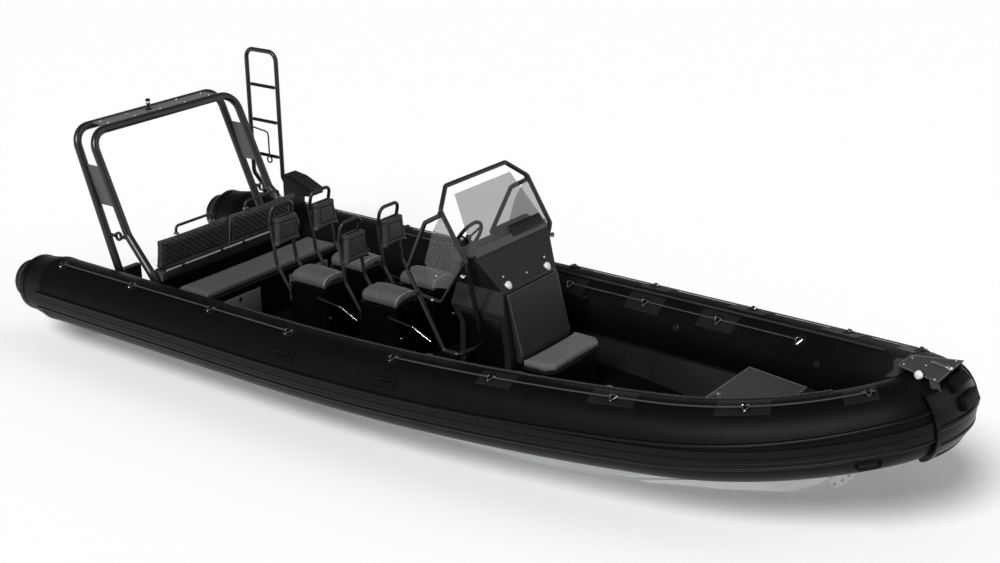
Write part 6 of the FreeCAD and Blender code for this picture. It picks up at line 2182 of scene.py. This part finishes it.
@dataclass
class Studio:
    """The camera, the pale floor at the waterline and the soft light."""

    place: tuple[float, float, float] = (7.68, -9.896, 5.744)
    pitch_deg: float = 20.61
    yaw_deg: float = 36.71
    roll_deg: float = -0.7245
    sensor_mm: float = 36.0
    # focal length as a share of the sensor's width
    focal_share: float = 1.62085
    far: float = 200.0
    floor_half: float = 60.0
    floor_colour: str = "fdfdfd"
    # how much brighter the floor is for the camera than the light alone makes it
    floor_lift: float = 0.05
    # name, direction, spread in degrees and power of each lamp
    lamps: tuple = (("key", (0.10, -0.70, 0.70), 24.0, 2.8),
                    ("fill", (0.75, 0.35, 0.55), 40.0, 0.55))
    sky: float = 0.25
    ceiling: float = 0.10
    # how far up the white walls reach in reflections, where 1 is straight up
    walls: tuple[float, float] = (0.02, 0.32)
    white: tuple[float, float, float, float] = (1.0, 1.0, 1.0, 1.0)

    def build(self) -> None:
        """Sets the camera, the floor, the lamps and the plain view of colour."""
        bpy.context.scene.view_settings.view_transform = "Standard"
        self._camera()
        self._floor()
        self._lamps()
        self._world()
        LOG.info("studio set")

    def _camera(self) -> None:
        """Points the camera from high off the starboard bow."""
        pitch, yaw, roll = (math.radians(turn) for turn in
                            (self.pitch_deg, self.yaw_deg, self.roll_deg))
        forward = Vector((-math.sin(yaw) * math.cos(pitch), math.cos(yaw) * math.cos(pitch),
                          -math.sin(pitch)))
        level = Vector((math.cos(yaw), math.sin(yaw), 0))
        above = level.cross(forward)
        right = level * math.cos(roll) + above * math.sin(roll)
        up = above * math.cos(roll) - level * math.sin(roll)
        data = bpy.data.cameras.new("camera")
        data.sensor_width = self.sensor_mm
        data.lens = self.sensor_mm * self.focal_share
        data.clip_end = self.far
        camera = link("camera", data)
        turn = Matrix((right, up, -forward)).transposed().to_4x4()
        camera.matrix_world = Matrix.Translation(Vector(self.place)) @ turn
        bpy.context.scene.camera = camera

    def _floor(self) -> None:
        """Lays the plain pale floor at the waterline."""
        mesh = bmesh.new()
        bmesh.ops.create_grid(mesh, x_segments=1, y_segments=1, size=self.floor_half)
        floor = to_object("floor", mesh)
        matter = blank_material("matt_white_floor")
        tree = matter.node_tree
        rays = add_node(tree, "ShaderNodeLightPath")
        lift = add_node(tree, "ShaderNodeMath", {"operation": "MULTIPLY", 1: self.floor_lift},
                        {0: rays.outputs["Is Camera Ray"]})
        shader = add_node(tree, "ShaderNodeBsdfPrincipled",
                          {"Base Color": linear(self.floor_colour), "Roughness": 0.9,
                           "Specular IOR Level": 0.1, "Emission Color": self.white},
                          {"Emission Strength": lift.outputs["Value"]})
        glow = add_node(tree, "ShaderNodeEmission", {"Color": self.white, "Strength": 1.0})
        either = add_node(tree, "ShaderNodeMixShader", links={
            0: rays.outputs["Is Glossy Ray"], 1: shader.outputs["BSDF"],
            2: glow.outputs["Emission"]})
        add_node(tree, "ShaderNodeOutputMaterial", links={"Surface": either.outputs["Shader"]})
        floor.data.materials.append(matter)

    def _lamps(self) -> None:
        """Hangs the soft lamps."""
        for name, toward, spread_deg, power in self.lamps:
            data = bpy.data.lights.new(name, "SUN")
            data.angle = math.radians(spread_deg)
            data.energy = power
            link(name, data).rotation_euler = Vector(toward).to_track_quat("Z", "Y").to_euler()

    def _world(self) -> None:
        """Makes the background white, with a dim ceiling in reflections and a soft fill."""
        world = bpy.data.worlds.new("white_sky")
        bpy.context.scene.world = world
        world.use_nodes = True
        tree = world.node_tree
        tree.nodes.clear()
        rays = add_node(tree, "ShaderNodeLightPath").outputs
        way = add_node(tree, "ShaderNodeTexCoord").outputs["Generated"]
        height = add_node(tree, "ShaderNodeSeparateXYZ", links={"Vector": way}).outputs["Z"]
        low, high = self.walls
        walls = add_node(tree, "ShaderNodeMapRange",
                         {"From Min": low, "From Max": high, "To Min": 1.0,
                          "To Max": self.ceiling}, {"Value": height})
        mirrored = add_node(tree, "ShaderNodeMath", {"operation": "MULTIPLY"},
                            {0: rays["Is Glossy Ray"], 1: walls.outputs["Result"]})
        fill = add_node(tree, "ShaderNodeMath", {"operation": "MULTIPLY", 1: self.sky},
                        {0: rays["Is Diffuse Ray"]})
        strength = rays["Is Camera Ray"]
        for other in (rays["Is Transmission Ray"], mirrored.outputs["Value"],
                      fill.outputs["Value"]):
            strength = add_node(tree, "ShaderNodeMath", {"operation": "MAXIMUM"},
                                {0: strength, 1: other}).outputs["Value"]
        sky = add_node(tree, "ShaderNodeBackground", {"Color": self.white},
                       {"Strength": strength})
        add_node(tree, "ShaderNodeOutputWorld", links={"Surface": sky.outputs["Background"]})


# ---- main ---------------------------------------------------------------

def main() -> None:
    """Builds every sub-assembly in order."""
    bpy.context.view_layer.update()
    for part in (Tubes(), Hull(), Bow(), Stern(), Bench(), Jockeys(), Console()):
        part.build()
        LOG.info("%s dressed", type(part).__name__)
    Studio().build()


if __name__ == "__main__":
    logging.basicConfig(level=logging.INFO, format="%(name)s: %(message)s")
    main()
